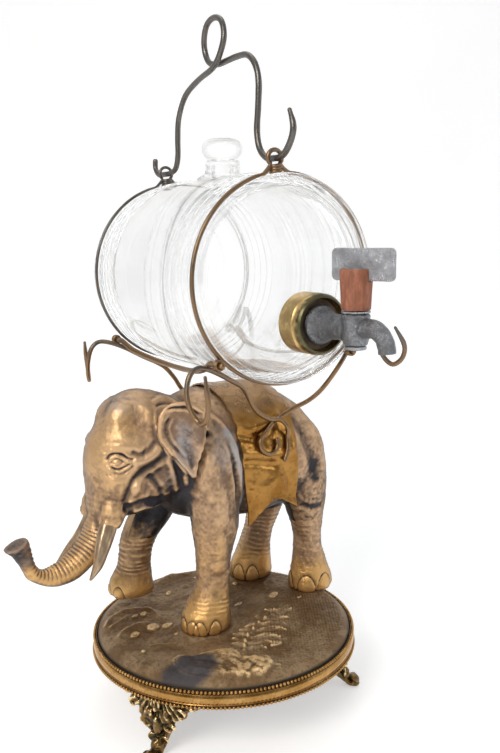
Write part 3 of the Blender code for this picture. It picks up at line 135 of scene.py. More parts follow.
# Tusks: x, y, z, radius
TUSKS = {
    "left": (
        (-70.6, -8.2, 70, 3.4), (-74.4, -10.2, 63.5, 4.1), (-77.6, -11.6, 57.5, 4.1), (-80.9, -13, 51, 3.4),
        (-83.9, -14.2, 44.6, 2.3), (-88.4, -15, 39, 0.5),
    ),
    "right": (
        (-71, 8.2, 70, 3), (-74.6, 9, 62, 3.2), (-77.6, 10.2, 55.5, 3.1), (-81.4, 12, 49.5, 2.6),
        (-86.2, 14, 43.6, 1.9), (-92, 15, 37.6, 0.5),
    ),
}
# Tail: x, z, radius
TAIL = (
    (58, 80, 2.6), (63, 74, 2.4), (66.4, 66, 2), (67.2, 56, 1.7), (66.4, 46, 1.6), (65, 38, 2.3),
    (63.8, 31, 2.5), (63, 26, 1),
)
# Rim of the ear: x, z
EAR = (
    (-50.2, 98), (-52.2, 103), (-52.2, 109), (-50.6, 114.6), (-46.5, 118), (-40, 118.6), (-33.6, 114.6),
    (-31.4, 107.4), (-32.4, 99.4), (-34.6, 91.4), (-38.2, 81), (-41.6, 85.4), (-46.4, 92.4),
)
# Sheath at the root of each tusk: x, y, z, radius
SHEATH = ((-66.6, 5.9, 79, 6), (-70.4, 7.7, 71, 6.3), (-73.6, 9.3, 64, 6), (-75.2, 10.5, 60.4, 5.2))
# Height of the saddle cloth's hem from front to rear
HEMS = (50.5, 54, 58.5, 62.5, 61, 58, 55)

# Strokes of the chasing on the animal: side of the body, width, rise, then x and z of the line.
# A negative rise cuts in. Side -1 is the tap's side, 1 the far side, 0 both.
STROKES = (
    # brow, temple, ridge from the eye to the ear, and cheek
    (0, 2.4, 1, ((-75.4, 97), (-73, 99.6), (-69, 100.2), (-64, 98.4), (-59, 96.2))),
    (0, 2.6, 1.3, ((-65.5, 91.5), (-60, 92), (-55, 94.2), (-50.4, 97.4))),
    (0, 1.5, -0.7, ((-66, 97.2), (-61, 94.8), (-56.6, 96.6), (-52.6, 100.6))),
    (0, 1.6, -0.9, ((-49.6, 92), (-55, 89), (-61, 86), (-65.4, 82.6), (-67.6, 76), (-69, 70))),
    (0, 3.4, 0.8, ((-73, 86), (-74.6, 80), (-75.6, 73), (-76.6, 66))),
    (0, 2.2, 0.7, ((-64.6, 81), (-62.6, 77.6), (-60, 74.4), (-56, 72.6))),
    (0, 1.2, -0.6, ((-58, 84), (-54, 80), (-50.6, 75), (-48.6, 70))),
    (0, 0.9, 0.5, ((-52.6, 112), (-57.4, 117), (-64, 118.8))),
    # eye: lids and the creases round them
    (0, 0.55, 0.75, ((-74.9, 92.3), (-73.8, 93.9), (-71.9, 94.6), (-69.9, 94), (-68.1, 92.6), (-65.8, 91.8))),
    (0, 0.5, -0.75, ((-75.6, 92.9), (-74.4, 95.3), (-71.9, 96.3), (-69.3, 95.6), (-67.1, 93.9), (-64, 92.9))),
    (0, 0.5, 0.6, ((-74.7, 91.7), (-73.3, 90.7), (-71.7, 90.3), (-70.1, 90.8), (-68.5, 92))),
    (0, 0.5, -0.5, ((-74.5, 90.4), (-73, 89.2), (-71.1, 88.8), (-68.9, 89.7), (-66.1, 91.3))),
    (0, 0.7, -0.35, ((-73.9, 88.1), (-71.4, 86.8), (-68.3, 87.8), (-64.6, 90.2))),
    # mouth, folds of the throat, sheath of the tusk
    (0, 1.7, -2.2, ((-69.6, 70), (-65, 68.6), (-59, 70.2), (-51, 69), (-43, 67.2))),
    (0, 0.8, 0.8, ((-63, 66), (-57, 66.8), (-50, 65.4))),
    (0, 0.7, -0.9, ((-64, 64.4), (-57, 64.6), (-49, 63))),
    (0, 0.8, 0.7, ((-60, 62.6), (-53, 62.6), (-46, 63.4))),
    (0, 0.7, -0.55, ((-79.4, 66), (-79.8, 62), (-79.9, 58))),
    (0, 0.9, 0.5, ((-79, 59.4), (-75, 60.8), (-70.6, 63.6))),
    # ear: rolled front rim, groove behind it, dark band, rear rim and the folds at its root
    (0, 0.9, 0.8, ((-49.6, 114.5), (-51.5, 108.8), (-51.8, 102.8), (-49.6, 97), (-42.9, 87.9), (-35.7, 79.6))),
    (0, 0.8, -0.6, ((-47, 112), (-48.9, 107.1), (-48.6, 102.8), (-46.4, 97.4), (-41, 90))),
    (0, 3.6, -0.5, ((-38.6, 105), (-40.4, 99.5), (-39.4, 92.5), (-37.2, 85))),
    (0, 0.8, 0.7, ((-50.8, 116.7), (-46.7, 117.7), (-39.1, 117.2), (-32.8, 112.4))),
    (0, 0.6, -0.7, ((-49.4, 115), (-45.6, 115.8), (-39.6, 115), (-35, 111.4))),
    # neck, shoulder and the raised casting edge behind it
    (0, 1.8, 0.8, ((-49, 97.7), (-45.2, 87.2), (-42.7, 78), (-39.4, 71))),
    (0, 1.5, -1.2, ((-46.4, 94), (-42.6, 85), (-39.6, 77), (-37, 70))),
    (0, 1.6, -1, ((-31.6, 96), (-33.4, 88), (-35, 80), (-34.4, 71))),
    (0, 2.4, 0.7, ((-27, 92), (-28.6, 84), (-29.4, 76), (-28, 66))),
    (0, 1.2, 1, ((-26, 112), (-19.6, 106), (-14.4, 97), (-11.4, 84), (-10, 72.6), (-8.8, 64.6), (-9.6, 57))),
    (0, 1.1, -0.7, ((-17.4, 96), (-14.6, 84), (-13.2, 72.6), (-12.2, 62.6))),
    (0, 2.8, -0.9, ((-25, 92), (-21, 80), (-19, 66), (-18, 54))),
    (-1, 3, 0.8, ((-26, 60), (-25.6, 50), (-25, 40), (-26, 28))),
    (-1, 2.2, -0.5, ((-19.6, 50), (-18.4, 40), (-18.4, 28))),
    # hip, hollow in front of the thigh, and rump
    (0, 3.4, -1.5, ((24, 108), (29, 98), (34, 86), (38, 74), (40.6, 60.7))),
    (0, 3.4, 1.2, ((34, 106), (41, 94), (45, 81), (48, 66))),
    (0, 2.4, -0.9, ((44, 97), (50, 84), (53, 70))),
    (0, 1.4, -0.5, ((32, 52), (38, 49), (46, 49.6))),
)
# Swells and hollows: x, distance from the middle, z, three radii, rise
SWELLS = (
    (-68, 8, 116, 9, 8, 9, 1.5),
    (-62, 16.5, 109.5, 9.5, 9, 9.5, -2.2),
    (-54.5, 17, 113, 5, 8, 7, 0.8),
    (-71.6, 15.5, 92.6, 5.6, 7, 5.2, -0.9),
    (-71.9, 15.5, 92.3, 2.6, 5, 1.9, 1.2),
    (-71, 15, 99, 5, 6, 4, 0.8),
    (-56, 16, 84, 11, 10, 8, -1.6),
    (-62, 14, 79.5, 5, 7, 6, 1.4),
    (-22, 29, 93, 12, 9, 17, 1.4),
    (-23, 29, 64, 9, 9, 14, 1),
    (-33.5, 24, 103, 5, 9, 12, -1.7),
    (-12.5, 28, 62, 6, 8, 12, -1),
    (43, 25, 88, 13, 10, 17, 1.6),
    (41, 25, 62, 10, 9, 13, 1),
    (8, 20, 52, 24, 16, 12, 1),
    (60, 7, 74, 9, 7, 14, 1.2),
    (-50, 0, 64, 14, 12, 8, -1.6),
)
# How far the ear's front and rear edges stand out, and the layers of its leaf in shares of the rim
EAR_LENGTHS = (18.6, 30.6)
EAR_SHARES = (0.0, 0.2, 0.4, 0.6, 0.76, 0.88, 0.95, 1.0)
EAR_THICKNESS = 2.2
# Casting hole in the shoulder: x, z
SHOULDER_HOLE = (-27.4, 99.4)
# Creases of the legs: from and to which height, pitch, depth
CREASED = (
    ("leg_front_left", 8, 18, 2.1, 0.26), ("leg_front_right", 19, 41, 2.6, 0.30),
    ("leg_rear_left", 20, 42, 3.2, 0.10), ("leg_rear_right", 10, 38, 2.5, 0.26),
)
# Toe nails of each leg: turns from straight ahead in degrees, half width, height
NAILS = {
    "leg_front_left": ((-8, 22, 42, 80), 17, 7.4), "leg_front_right": ((-62, -20, 24), 17, 6.4),
    "leg_rear_left": ((-30, 38, 96), 26, 9.4), "leg_rear_right": ((-28, 16, 58), 20, 9),
}
# Spots of the colouring, with painted highlight and painted shade among them: share, x, z, two radii
SPOTS = {
    "wear_and_highlight": ((0.30, -71, 99, 6, 4), (0.25, -62, 80, 5, 5), (0.2, -66, 108, 6, 7), (0.2, -76, 88, 6, 14)),
    "recess": ((0.8, -44, 63, 10, 8), (0.40, -74, 118, 12, 10), (0.25, -56, 84, 8, 6)),
    "bloom_stain_and_reflection": (
        (0.5, -20, 92, 10, 16), (0.4, -42, 92, 5, 14), (0.5, -68, 119, 16, 9), (0.35, -46, 78, 8, 8),
        (0.4, -41, 101, 7, 12),
    ),
    "warm": ((0.8, -62, 110, 8, 7),),
}
# Painted shade along dark folds behind the saddle, in the ear and behind it: share, width, line in x and z
DARK_FOLDS = (
    (0.26, 8.0, ((24, 106.7), (31.7, 92.8), (37.9, 75.2), (40.6, 60.7), (41, 48))),
    (0.30, 3.0, ((-38.6, 105), (-40.4, 99.5), (-39.4, 92.5), (-37.2, 82))),
    (0.5, 2.6, ((-30.6, 112), (-29.6, 102), (-31, 94), (-34, 82), (-37, 70))),
    (0.45, 2.0, ((-51, 96), (-47, 89), (-42, 82))),
)
CASTING_EDGE = ((-16, 100), (-12, 88), (-9.4, 76), (-8.2, 66), (-9.4, 56), (-12.6, 46))


# Settings


def a_length(name, description, default, **options):
    return FloatProperty(name=name, description=description, default=default, unit="LENGTH", **options)


def a_place(name, description, default):
    return FloatVectorProperty(name=name, description=description, default=default, subtype="TRANSLATION")


def a_colour(name, description, default):
    return FloatVectorProperty(name=name, description=description, default=default, subtype="COLOR")


def a_number(name, description, default, **options):
    return FloatProperty(name=name, description=description, default=default, **options)


class DispenserAnimal(bpy.types.PropertyGroup):
    height: a_length("Height", "Height of the cast elephant", 0.118)
    shift: a_place("Place", "Middle of the soles from the middle of the base", (0.0135, 0.0185, 0.0413))
    turn: a_number("Turn", "How far the elephant is turned on its base", math.radians(5), subtype="ANGLE")
    grain: a_length("Grain", "Distance between the points of the cast skin", 0.0006, precision=5)
    # tan is laid on the raised places as rubbed bronze, and on upward faces and spots of the head as painted highlight
    tan: a_colour("Bronze", "Rubbed bronze on the raised places", (0.66, 0.43, 0.245))
    brown: a_colour("Patina", "Brown patina of the flanks", (0.21, 0.130, 0.080))
    # The recess colour is dark patina in the hollows, and painted shade under and between the parts
    hollow_patina_and_shade: a_colour("Recesses", "Dark blue-grey patina in the recesses", (0.040, 0.037, 0.042))
    tusk: a_colour("Tusk", "Pinkish brown of the tusks", (0.70, 0.50, 0.32))
    saddle: a_colour("Saddle brass", "Brass sheet of the saddle cloth", (0.26, 0.115, 0.022))


class DispenserBase(bpy.types.PropertyGroup):
    top: a_length("Ring height", "Top of the gilt ring above the table", 0.038)
    radius: a_length("Disc radius", "Radius of the cast disc", 0.0648)
    rise: a_length("Disc rise", "How far the disc stands above the ring", 0.003)
    ring: a_length("Ring radius", "Outer radius of the gilt ring", 0.0677)
    beads: IntProperty(name="Beads", description="Beads in each row round the ring", default=220, min=24)
    gilt: a_colour("Gilding", "Gilt brass of the ring and the fixings", (0.36, 0.19, 0.052))
    earth: a_colour("Ground", "Olive brown of the cast ground", (0.20, 0.112, 0.045))


class DispenserBarrel(bpy.types.PropertyGroup):
    belly: a_length("Belly radius", "Outer radius of the barrel at its middle", 0.049)
    wall: a_length("Wall", "Thickness of the glass", 0.0036)
    place: a_place("Place", "Middle of the barrel from the middle of the base", (0.0146, 0.0178, 0.2158))
    tint: a_colour("Glass", "Tint of the clear glass", (0.97, 0.985, 0.98))


class DispenserWires(bpy.types.PropertyGroup):
    hoop: a_length("Hoop wire", "Diameter of the hoops' wire", 0.0020)
    rail: a_length("Rail wire", "Diameter of the rails' wire", 0.0027)
    strut: a_length("Hook wire", "Diameter of the wire of struts and cup hooks", 0.0024)
    handle: a_length("Handle wire", "Diameter of the bail handle's wire", 0.0029)
    steel: a_colour("Steel", "Dark grey of the upper wires", (0.15, 0.14, 0.13))
    brass: a_colour("Brass", "Brassy tint of the lower wires", (0.27, 0.165, 0.085))


class DispenserTap(bpy.types.PropertyGroup):
    pewter: a_colour("Pewter", "Grey metal of the tap", (0.39, 0.395, 0.42))
    brass: a_colour("Collar brass", "Aged brass of the collar", (0.72, 0.50, 0.21))
    sleeve: a_colour("Sleeve", "Rust brown of the sleeve on the key", (0.42, 0.155, 0.085))
    cork: a_colour("Cork", "Cork round the tap's shank", (0.14, 0.11, 0.075))


class DispenserStage(bpy.types.PropertyGroup):
    floor: a_colour("Floor", "Pale floor and backdrop", (0.80, 0.80, 0.80))
    glow: a_number("Backdrop", "White of the floor and backdrop that lights nothing", 0.46)
    key: a_number("Key lamp", "Power of the large soft lamp", 6.6, unit="POWER")
    fill: a_number("Fill lamp", "Power of the two smaller soft lamps", 1.25, unit="POWER")
    dark: a_number("Horizon", "Strength of the studio's light at the horizon", 0.13)
    bright: a_number("Ceiling", "Strength of the studio's light from above", 0.60)
    lens: a_number("Lens", "Focal length of the camera", 38.71, unit="CAMERA")


def chosen(group):
    """The settings of one group: animal, base, barrel, wires, tap or stage."""
    return getattr(bpy.context.scene, "dispenser_" + group)


# Points and surfaces in arrays


def smooth_rows(rows, steps, closed=False):
    """Catmull-Rom rows between the given rows."""
    rows = np.asarray(rows, float)
    count = len(rows)
    t = (np.arange(steps) / steps)[:, None]
    found = []
    for i in range(count if closed else count - 1):
        near = np.arange(i - 1, i + 3)
        a, b, c, d = rows[near % count if closed else np.clip(near, 0, count - 1)]
        found.append((2 * b + (c - a) * t + (2 * a - 5 * b + 4 * c - d) * t**2 + (3 * b - a - 3 * c + d) * t**3) / 2)
    return np.concatenate(found if closed else [*found, rows[-1:]])


def unit(vectors):
    return vectors / np.maximum(np.linalg.norm(vectors, axis=-1, keepdims=True), 1e-12)


def held(values):
    return np.clip(values, 0, 1)


def ease(values):
    """Smooth step from 0 to 1."""
    values = held(values)
    return values * values * (3 - 2 * values)


def bell(values):
    """1 at zero, falling to 0 on both sides."""
    return np.exp(-(values**2))


def dome(squares, power=1):
    """1 where the sum of squares is zero, falling to 0 where it is 1."""
    return held(1 - squares) ** power


def lattice_noise(points, size, seed):
    """Smooth noise from -1 to 1 on a seeded lattice with cells of the given size."""
    table = np.random.RandomState(seed).uniform(-1, 1, NOISE_ROWS)
    place = np.asarray(points) / size + NOISE_SHIFT
    cell = np.floor(place).astype(np.int64)
    share = ease(place - cell)
    total = np.zeros(len(place))
    for corner in range(8):
        step = np.array([(corner >> k) & 1 for k in range(3)])
        key = (cell + step) * NOISE_PRIMES
        row = (key[:, 0] ^ key[:, 1] ^ key[:, 2]) & (NOISE_ROWS - 1)
        total += np.prod(np.where(step, share, 1 - share), axis=1) * table[row]
    return total


def around(radius, sides):
    """Places round the origin as two arrays, for one radius or a column of them."""
    turn = math.tau * np.arange(sides) / sides
    return radius * np.cos(turn), radius * np.sin(turn)


def rings_of(middles, along, across, half_along, half_across, sides):
    """Ovals round the given middles, as an array of rings, points and coordinates."""
    rings = middles[:, None, :]
    for turned, axis, half in zip(around(1, sides), (along, across), (half_along, half_across)):
        rings = rings + turned[None, :, None] * half[:, None, None] * np.broadcast_to(axis, middles.shape)[:, None, :]
    return rings


def ring_skin(rings, closed=False):
    """Points and faces through rings of equally many points, with ends filled unless the rings close."""
    rings = np.asarray(rings)
    index = np.arange(rings.shape[0] * rings.shape[1]).reshape(rings.shape[:2])
    ahead = np.roll(index, -1, axis=1)
    faces = np.stack([index, ahead, np.roll(ahead, -1, axis=0), np.roll(index, -1, axis=0)], -1)
    if closed:
        return rings.reshape(-1, 3), faces.reshape(-1, 4).tolist()
    return rings.reshape(-1, 3), faces[:-1].reshape(-1, 4).tolist() + [index[0][::-1].tolist(), index[-1].tolist()]


def oval_skin(middles, along, half_along, half_across, sides):
    """A skin through ovals with one axis along Y."""
    return ring_skin(rings_of(middles, along, (0, 1, 0), half_along, half_across, sides))


def turned_skin(profile, sides, closed=False):
    """Points and faces turned about Z from radius and height pairs. An open profile ends on the axis."""
    profile = np.asarray(profile, float)
    rings = np.stack([*around(profile[:, :1], sides), np.repeat(profile[:, 1:], sides, axis=1)], -1)
    return ring_skin(rings, closed)


def along_y(skin):
    """Lays a skin made about Z along Y, with its +Z end at -Y."""
    points, faces = skin
    return np.stack([points[:, 0], -points[:, 2], points[:, 1]], -1), faces


def moved(skin, place):
    return skin[0] + np.asarray(place, float), skin[1]


def scaled(skin, factor=THOUSANDTH):
    return skin[0] * factor, skin[1]


def tube_rings(path, radius, sides, closed=False):
    """Rings square to a bent path, carried along it without twist."""
    path = np.asarray(path, float)
    if closed:
        ahead = unit(np.roll(path, -1, axis=0) - np.roll(path, 1, axis=0))
    else:
        ahead = unit(np.gradient(path, axis=0))
    side = np.zeros_like(path)
    side[0] = unit(np.cross(ahead[0], OFF_AXIS))
    for i in range(1, len(path)):
        side[i] = unit(side[i - 1] - ahead[i] * np.dot(side[i - 1], ahead[i]))
    over = np.cross(ahead, side)
    if closed:
        flat = side[-1] - ahead[0] * np.dot(side[-1], ahead[0])
        slip = math.atan2(np.dot(np.cross(flat, side[0]), ahead[0]), np.dot(flat, side[0]))
        turn = (slip * np.arange(len(path)) / len(path))[:, None]
        side, over = side * np.cos(turn) + over * np.sin(turn), over * np.cos(turn) - side * np.sin(turn)
    radius = np.broadcast_to(np.asarray(radius, float), (len(path),))
    return rings_of(path, side, over, radius, radius, sides)


def tube_skin(path, radius, sides=14, closed=False):
    """A round wire along a path. Open ends are rounded off."""
    path = np.asarray(path, float)
    radius = np.broadcast_to(np.asarray(radius, float), (len(path),))
    if not closed:
        caps = np.array((0.98, 0.86, 0.55))
        rise = np.sqrt(1 - caps**2)[:, None]
        start = (path[0] + unit(path[0] - path[1]) * radius[0] * rise)[::-1]
        end = path[-1] + unit(path[-1] - path[-2]) * radius[-1] * rise
        path = np.concatenate([start, path, end])
        radius = np.concatenate([(radius[0] * caps)[::-1], radius, radius[-1] * caps])
    return ring_skin(tube_rings(path, radius, sides, closed), closed)


def even_path(path, step=0.0011, closed=False):
    """The path's points spread evenly."""
    path = np.asarray(path, float)
    if closed:
        path = np.concatenate([path, path[:1]])
    reach = np.concatenate([[0], np.cumsum(np.linalg.norm(np.diff(path, axis=0), axis=1))])
    at = np.linspace(0, reach[-1], max(int(reach[-1] / step), 4) + 1)
    if closed:
        at = at[:-1]
    return np.stack([np.interp(at, reach, path[:, k]) for k in range(3)], -1)


def line_distance(points, line):
    """Distance of each point to a line of straight steps, and how far along it the nearest place lies."""
    line = np.asarray(line, float)
    steps = np.linalg.norm(np.diff(line, axis=0), axis=1)
    best = np.full(len(points), np.inf)
    along = np.zeros(len(points))
    start = 0.0
    for a, b, step in zip(line, line[1:], steps):
        share = np.clip((points - a) @ (b - a) / step**2, 0, 1)
        away = np.linalg.norm(points - a - share[:, None] * (b - a), axis=1)
        nearer = away < best
        best = np.where(nearer, away, best)
        along = np.where(nearer, start + share * step, along)
        start += step
    return best, along / start


def stroke_distance(points, line):
    """The same for a line that is smoothed first."""
    return line_distance(points, smooth_rows(line, 4))


# Objects


def smoothed(mesh, sharp=None):
    mesh.shade_smooth()
    if sharp:
        mesh.set_sharp_from_angle(angle=math.radians(sharp))


def make_mesh(name, skin, sharp=None):
    points, faces = skin
    mesh = bpy.data.meshes.new(name)
    mesh.from_pydata(np.asarray(points, float).tolist(), [], faces)
    mesh.validate()
    bm = bmesh.new()
    bm.from_mesh(mesh)
    bmesh.ops.recalc_face_normals(bm, faces=bm.faces)
    if bm.calc_volume(signed=True) < 0:
        bmesh.ops.reverse_faces(bm, faces=bm.faces)
    bm.to_mesh(mesh)
    bm.free()
    smoothed(mesh, sharp)
    return mesh


def make_object(name, data):
    thing = bpy.data.objects.new(name, data)
    bpy.context.scene.collection.objects.link(thing)
    return thing


def shaped(name, skin, sharp=None):
    """An object from a skin in thousandths of a metre."""
    return make_object(name, make_mesh(name, scaled(skin), sharp))


def joined(skins):
    """Several skins as one."""
    points, faces, offset = [], [], 0
    for part_points, part_faces in skins:
        points.append(np.asarray(part_points, float))
        faces += [[index + offset for index in face] for face in part_faces]
        offset += len(part_points)
    return np.concatenate(points), faces


def bake(thing):
    """Replaces an object's mesh by the one that its modifiers make."""
    bpy.context.view_layer.update()
    graph = bpy.context.evaluated_depsgraph_get()
    made = bpy.data.meshes.new_from_object(thing.evaluated_get(graph))
    old = thing.data
    thing.modifiers.clear()
    thing.data = made
    bpy.data.meshes.remove(old)


def fused(name, skins, grain):
    """One closed skin over overlapping volumes, from a fine voxel remesh."""
    thing = shaped(name, joined(skins))
    change = thing.modifiers.new("fuse", "REMESH")
    change.mode = "VOXEL"
    change.voxel_size = grain
    change.use_smooth_shade = True
    bake(thing)
    return thing


def carved(target, skin, operation="DIFFERENCE"):
    """Cuts a skin from an object, or adds it."""
    other = shaped("shape", skin)
    change = target.modifiers.new("carve", "BOOLEAN")
    change.operation = operation
    change.solver = "EXACT"
    change.object = other
    bake(target)
    bpy.data.meshes.remove(other.data)


def paint(mesh, name, values):
    """Gives each point a value that the materials read."""
    layer = mesh.attributes.new(name, "FLOAT", "POINT")
    layer.data.foreach_set("value", np.asarray(values, np.float32))


class Clay:
    """A mesh's points as arrays, moved by brushes along its normals. Lengths are in thousandths of a metre."""

    def __init__(self, mesh):
        self.mesh = mesh
        self.points = np.empty(len(mesh.vertices) * 3)
        mesh.vertices.foreach_get("co", self.points)
        self.points = self.points.reshape(-1, 3) / THOUSANDTH
        ends = np.empty(len(mesh.edges) * 2, np.int64)
        mesh.edges.foreach_get("vertices", ends)
        self.ends = ends.reshape(-1, 2)
        self.share = 1 / np.maximum(np.bincount(self.ends.ravel(), minlength=len(self.points)), 1)
        self.feel()

    def feel(self):
        """Writes the points to the mesh and reads its normals."""
        self.mesh.vertices.foreach_set("co", (self.points * THOUSANDTH).ravel())
        self.mesh.update()
        self.normals = np.empty(len(self.points) * 3)
        self.mesh.vertex_normals.foreach_get("vector", self.normals)
        self.normals = self.normals.reshape(-1, 3)

    def spread(self, values):
        """Mean of each point's neighbours."""
        if values.ndim > 1:
            return np.stack([self.spread(column) for column in values.T], -1)
        first, second = self.ends.T
        count = len(self.points)
        return (np.bincount(first, values[second], count) + np.bincount(second, values[first], count)) * self.share

    def relax(self, rounds, strength=0.5, mask=None):
        for _ in range(rounds):
            change = (self.spread(self.points) - self.points) * strength
            self.points += change if mask is None else change * mask[:, None]
        self.feel()

    def push(self, rise):
        self.points += self.normals * rise[:, None]
        self.feel()

    def relief(self, rounds):
        """How far each point stands above its surroundings."""
        wide = self.points.copy()
        for _ in range(rounds):
            wide += (self.spread(wide) - wide) * 0.6
        return np.einsum("ij,ij->i", self.points - wide, self.normals)

    def paint(self, **layers):
        for name, values in layers.items():
            paint(self.mesh, name, values)


def dress(thing, matrix, material, body, slot, *nodes):
    """Puts a finished piece in place, with its material and body, and hides the nodes that it stands for.

    The mesh itself is moved, so that the object stays at the origin. The slot is not used.
    """
    thing.data.transform(matrix)
    thing.data.update()
    thing.data.materials.clear()
    thing.data.materials.append(material)
    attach(thing, body)
    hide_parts(*nodes)


def piece(name, skin, sharp, *details):
    """A finished piece straight from a skin. Returns its mesh."""
    thing = shaped(name, skin, sharp)
    dress(thing, *details)
    return thing.data


# Materials


class Finish:
    """A material's nodes, built in a few words."""

    def __init__(self, name, metallic=0.0, **sockets):
        self.material = bpy.data.materials.new(name)
        self.material.use_nodes = True
        self.tree = self.material.node_tree
        self.shader = self.tree.nodes["Principled BSDF"]
        self.shader.inputs["Metallic"].default_value = metallic
        for key, value in sockets.items():
            self.shader.inputs[key.replace("_", " ")].default_value = value
        self.place = self.tree.nodes.new("ShaderNodeTexCoord").outputs["Object"]

    def node(self, kind, inputs, output=0, **settings):
        made = self.tree.nodes.new("ShaderNode" + kind)
        for key, value in settings.items():
            setattr(made, key, value)
        for key, value in inputs.items():
            if isinstance(value, bpy.types.NodeSocket):
                self.tree.links.new(value, made.inputs[key])
            elif value is not None:
                made.inputs[key].default_value = value
        return made.outputs[output]

    def noise(self, scale, detail=4.0, roughness=0.55, stretch=None, turn=(0, 0, 0)):
        vector = self.place
        if stretch:
            vector = self.node("Mapping", {"Vector": vector, "Scale": stretch, "Rotation": turn})
        return self.node("TexNoise", {"Vector": vector, "Scale": scale, "Detail": detail, "Roughness": roughness})

    def cells(self, scale):
        return self.node("TexVoronoi", {"Vector": self.place, "Scale": scale}, feature="F1")

    def attribute(self, name):
        return self.node("Attribute", {}, output="Fac", attribute_name=name)

    def ramp(self, value, low, high, start=0.0, end=1.0):
        """Value from low..high to start..end, held at both ends."""
        return self.node("MapRange", {0: value, 1: low, 2: high, 3: start, 4: end}, interpolation_type="SMOOTHSTEP")

    def maths(self, operation, first, second):
        return self.node("Math", {0: first, 1: second}, operation=operation)

    def add(self, first, second):
        return self.maths("ADD", first, second)

    def times(self, first, second):
        return self.maths("MULTIPLY", first, second)

    def sway(self, value, reach):
        """A noise as a swing round zero."""
        return self.times(self.maths("SUBTRACT", value, 0.5), reach)

    def mix(self, share, first, second):
        first, second = (v if isinstance(v, bpy.types.NodeSocket) else (*v[:3], 1) for v in (first, second))
        return self.node("Mix", {0: share, 6: first, 7: second}, output=2, data_type="RGBA")

    def over(self, colour, layer, value, low, high, most=1.0):
        """Lays a second colour over the first where the value is high."""
        return self.mix(self.ramp(value, low, high, 0, most), colour, layer)

    def bump(self, height, strength, distance, under=None):
        return self.node("Bump", {"Height": height, "Strength": strength, "Distance": distance, "Normal": under})

    def end(self, colour, roughness=None, normal=None):
        for key, value in (("Base Color", colour), ("Roughness", roughness), ("Normal", normal)):
            if value is not None:
                self.tree.links.new(value, self.shader.inputs[key])
        return self.material


def dim(colour, share):
    return tuple(c * share for c in colour)


def known(name):
    return bpy.data.materials.get(name)


def cast_bronze():
    """Patinated bronze of the animal: rubbed on raised places with painted highlight, dark patina in the hollows with
    painted shade under and between the parts, pale grey on cast edges with painted reflection, and painted dark
    reflection at the outline.
    """
    animal = chosen("animal")
    f = Finish("patinated bronze cast", metallic=0.68)
    wear_and_highlight, depth, bloom_stain_and_reflection, warm = (f.attribute(name) for name in ("wear_and_highlight", "recess", "bloom_stain_and_reflection", "warm"))
    patches, mottle, grit = f.noise(46, 5, 0.6), f.noise(190, 5, 0.66), f.noise(1300, 3, 0.6)
    # rubbed joins the rubbed places with the painted highlight, broken up by noise
    rubbed = f.add(f.add(wear_and_highlight, f.sway(mottle, 0.45)), f.sway(patches, 0.7))
    colour = f.over(animal.brown, dim(animal.brown, 1.6), patches, 0.36, 0.66)
    colour = f.over(colour, f.mix(warm, animal.tan, (0.70, 0.41, 0.15)), rubbed, 0.26, 0.84)
    # Pale grey film, with painted reflection along the casting edge and painted highlight on the rump
    pale = f.times(bloom_stain_and_reflection, f.ramp(mottle, 0.36, 0.6, 0.5, 1.0))
    colour = f.over(colour, (0.40, 0.39, 0.40), pale, 0.10, 0.85, 0.85)
    # Dark patina in the hollows, and painted shade under and between the parts
    colour = f.over(colour, animal.hollow_patina_and_shade, f.add(depth, f.sway(patches, 0.6)), 0.20, 0.85)
    # Painted dark reflection: darker towards the outline, where the surface turns away
    edge = f.node("LayerWeight", {"Blend": 0.5}, output="Facing")
    colour = f.over(colour, (0.085, 0.058, 0.042), edge, 0.35, 1.0, 0.8)
    height = f.add(f.times(grit, 0.6), mottle)
    return f.end(colour, f.ramp(rubbed, 0.2, 0.95, 0.50, 0.33), f.bump(height, 0.7, 0.0006))


def tusk_bronze():
    tusk = chosen("animal").tusk
    f = Finish("tusk bronze", metallic=0.8)
    streaks = f.noise(300, 4, 0.6, (1.0, 1.0, 0.16))
    colour = f.over(dim(tusk, 0.45), tusk, streaks, 0.35, 0.68)
    return f.end(colour, f.ramp(streaks, 0.3, 0.7, 0.42, 0.26), f.bump(streaks, 0.3, 0.0003))


def saddle_brass():
    f = Finish("saddle brass sheet", metallic=0.95)
    cloud, stain = f.noise(45, 5, 0.6), f.noise(420, 5, 0.72)
    scratch = f.noise(900, 2, 0.5, (0.18, 1.0, 1.0), (0.0, 0.4, 0.2))
    colour = f.over(chosen("animal").saddle, (0.42, 0.215, 0.055), cloud, 0.40, 0.62)
    colour = f.over(colour, (0.22, 0.10, 0.03), stain, 0.50, 0.74, 0.6)
    # Greyer and paler where the attribute recess is high: towards the top of the sheet and at the hem's hole
    colour = f.over(colour, (0.36, 0.24, 0.14), f.attribute("recess"), 0.1, 1.0, 0.6)
    rough = f.add(f.ramp(cloud, 0.3, 0.7, 0.22, 0.36), f.ramp(stain, 0.5, 0.8, 0.0, 0.2))
    height = f.add(f.times(stain, 0.6), f.times(scratch, 0.5))
    dents = f.bump(f.noise(110, 3, 0.5), 0.6, 0.0022)
    return f.end(colour, rough, f.bump(height, 0.25, 0.0003, dents))


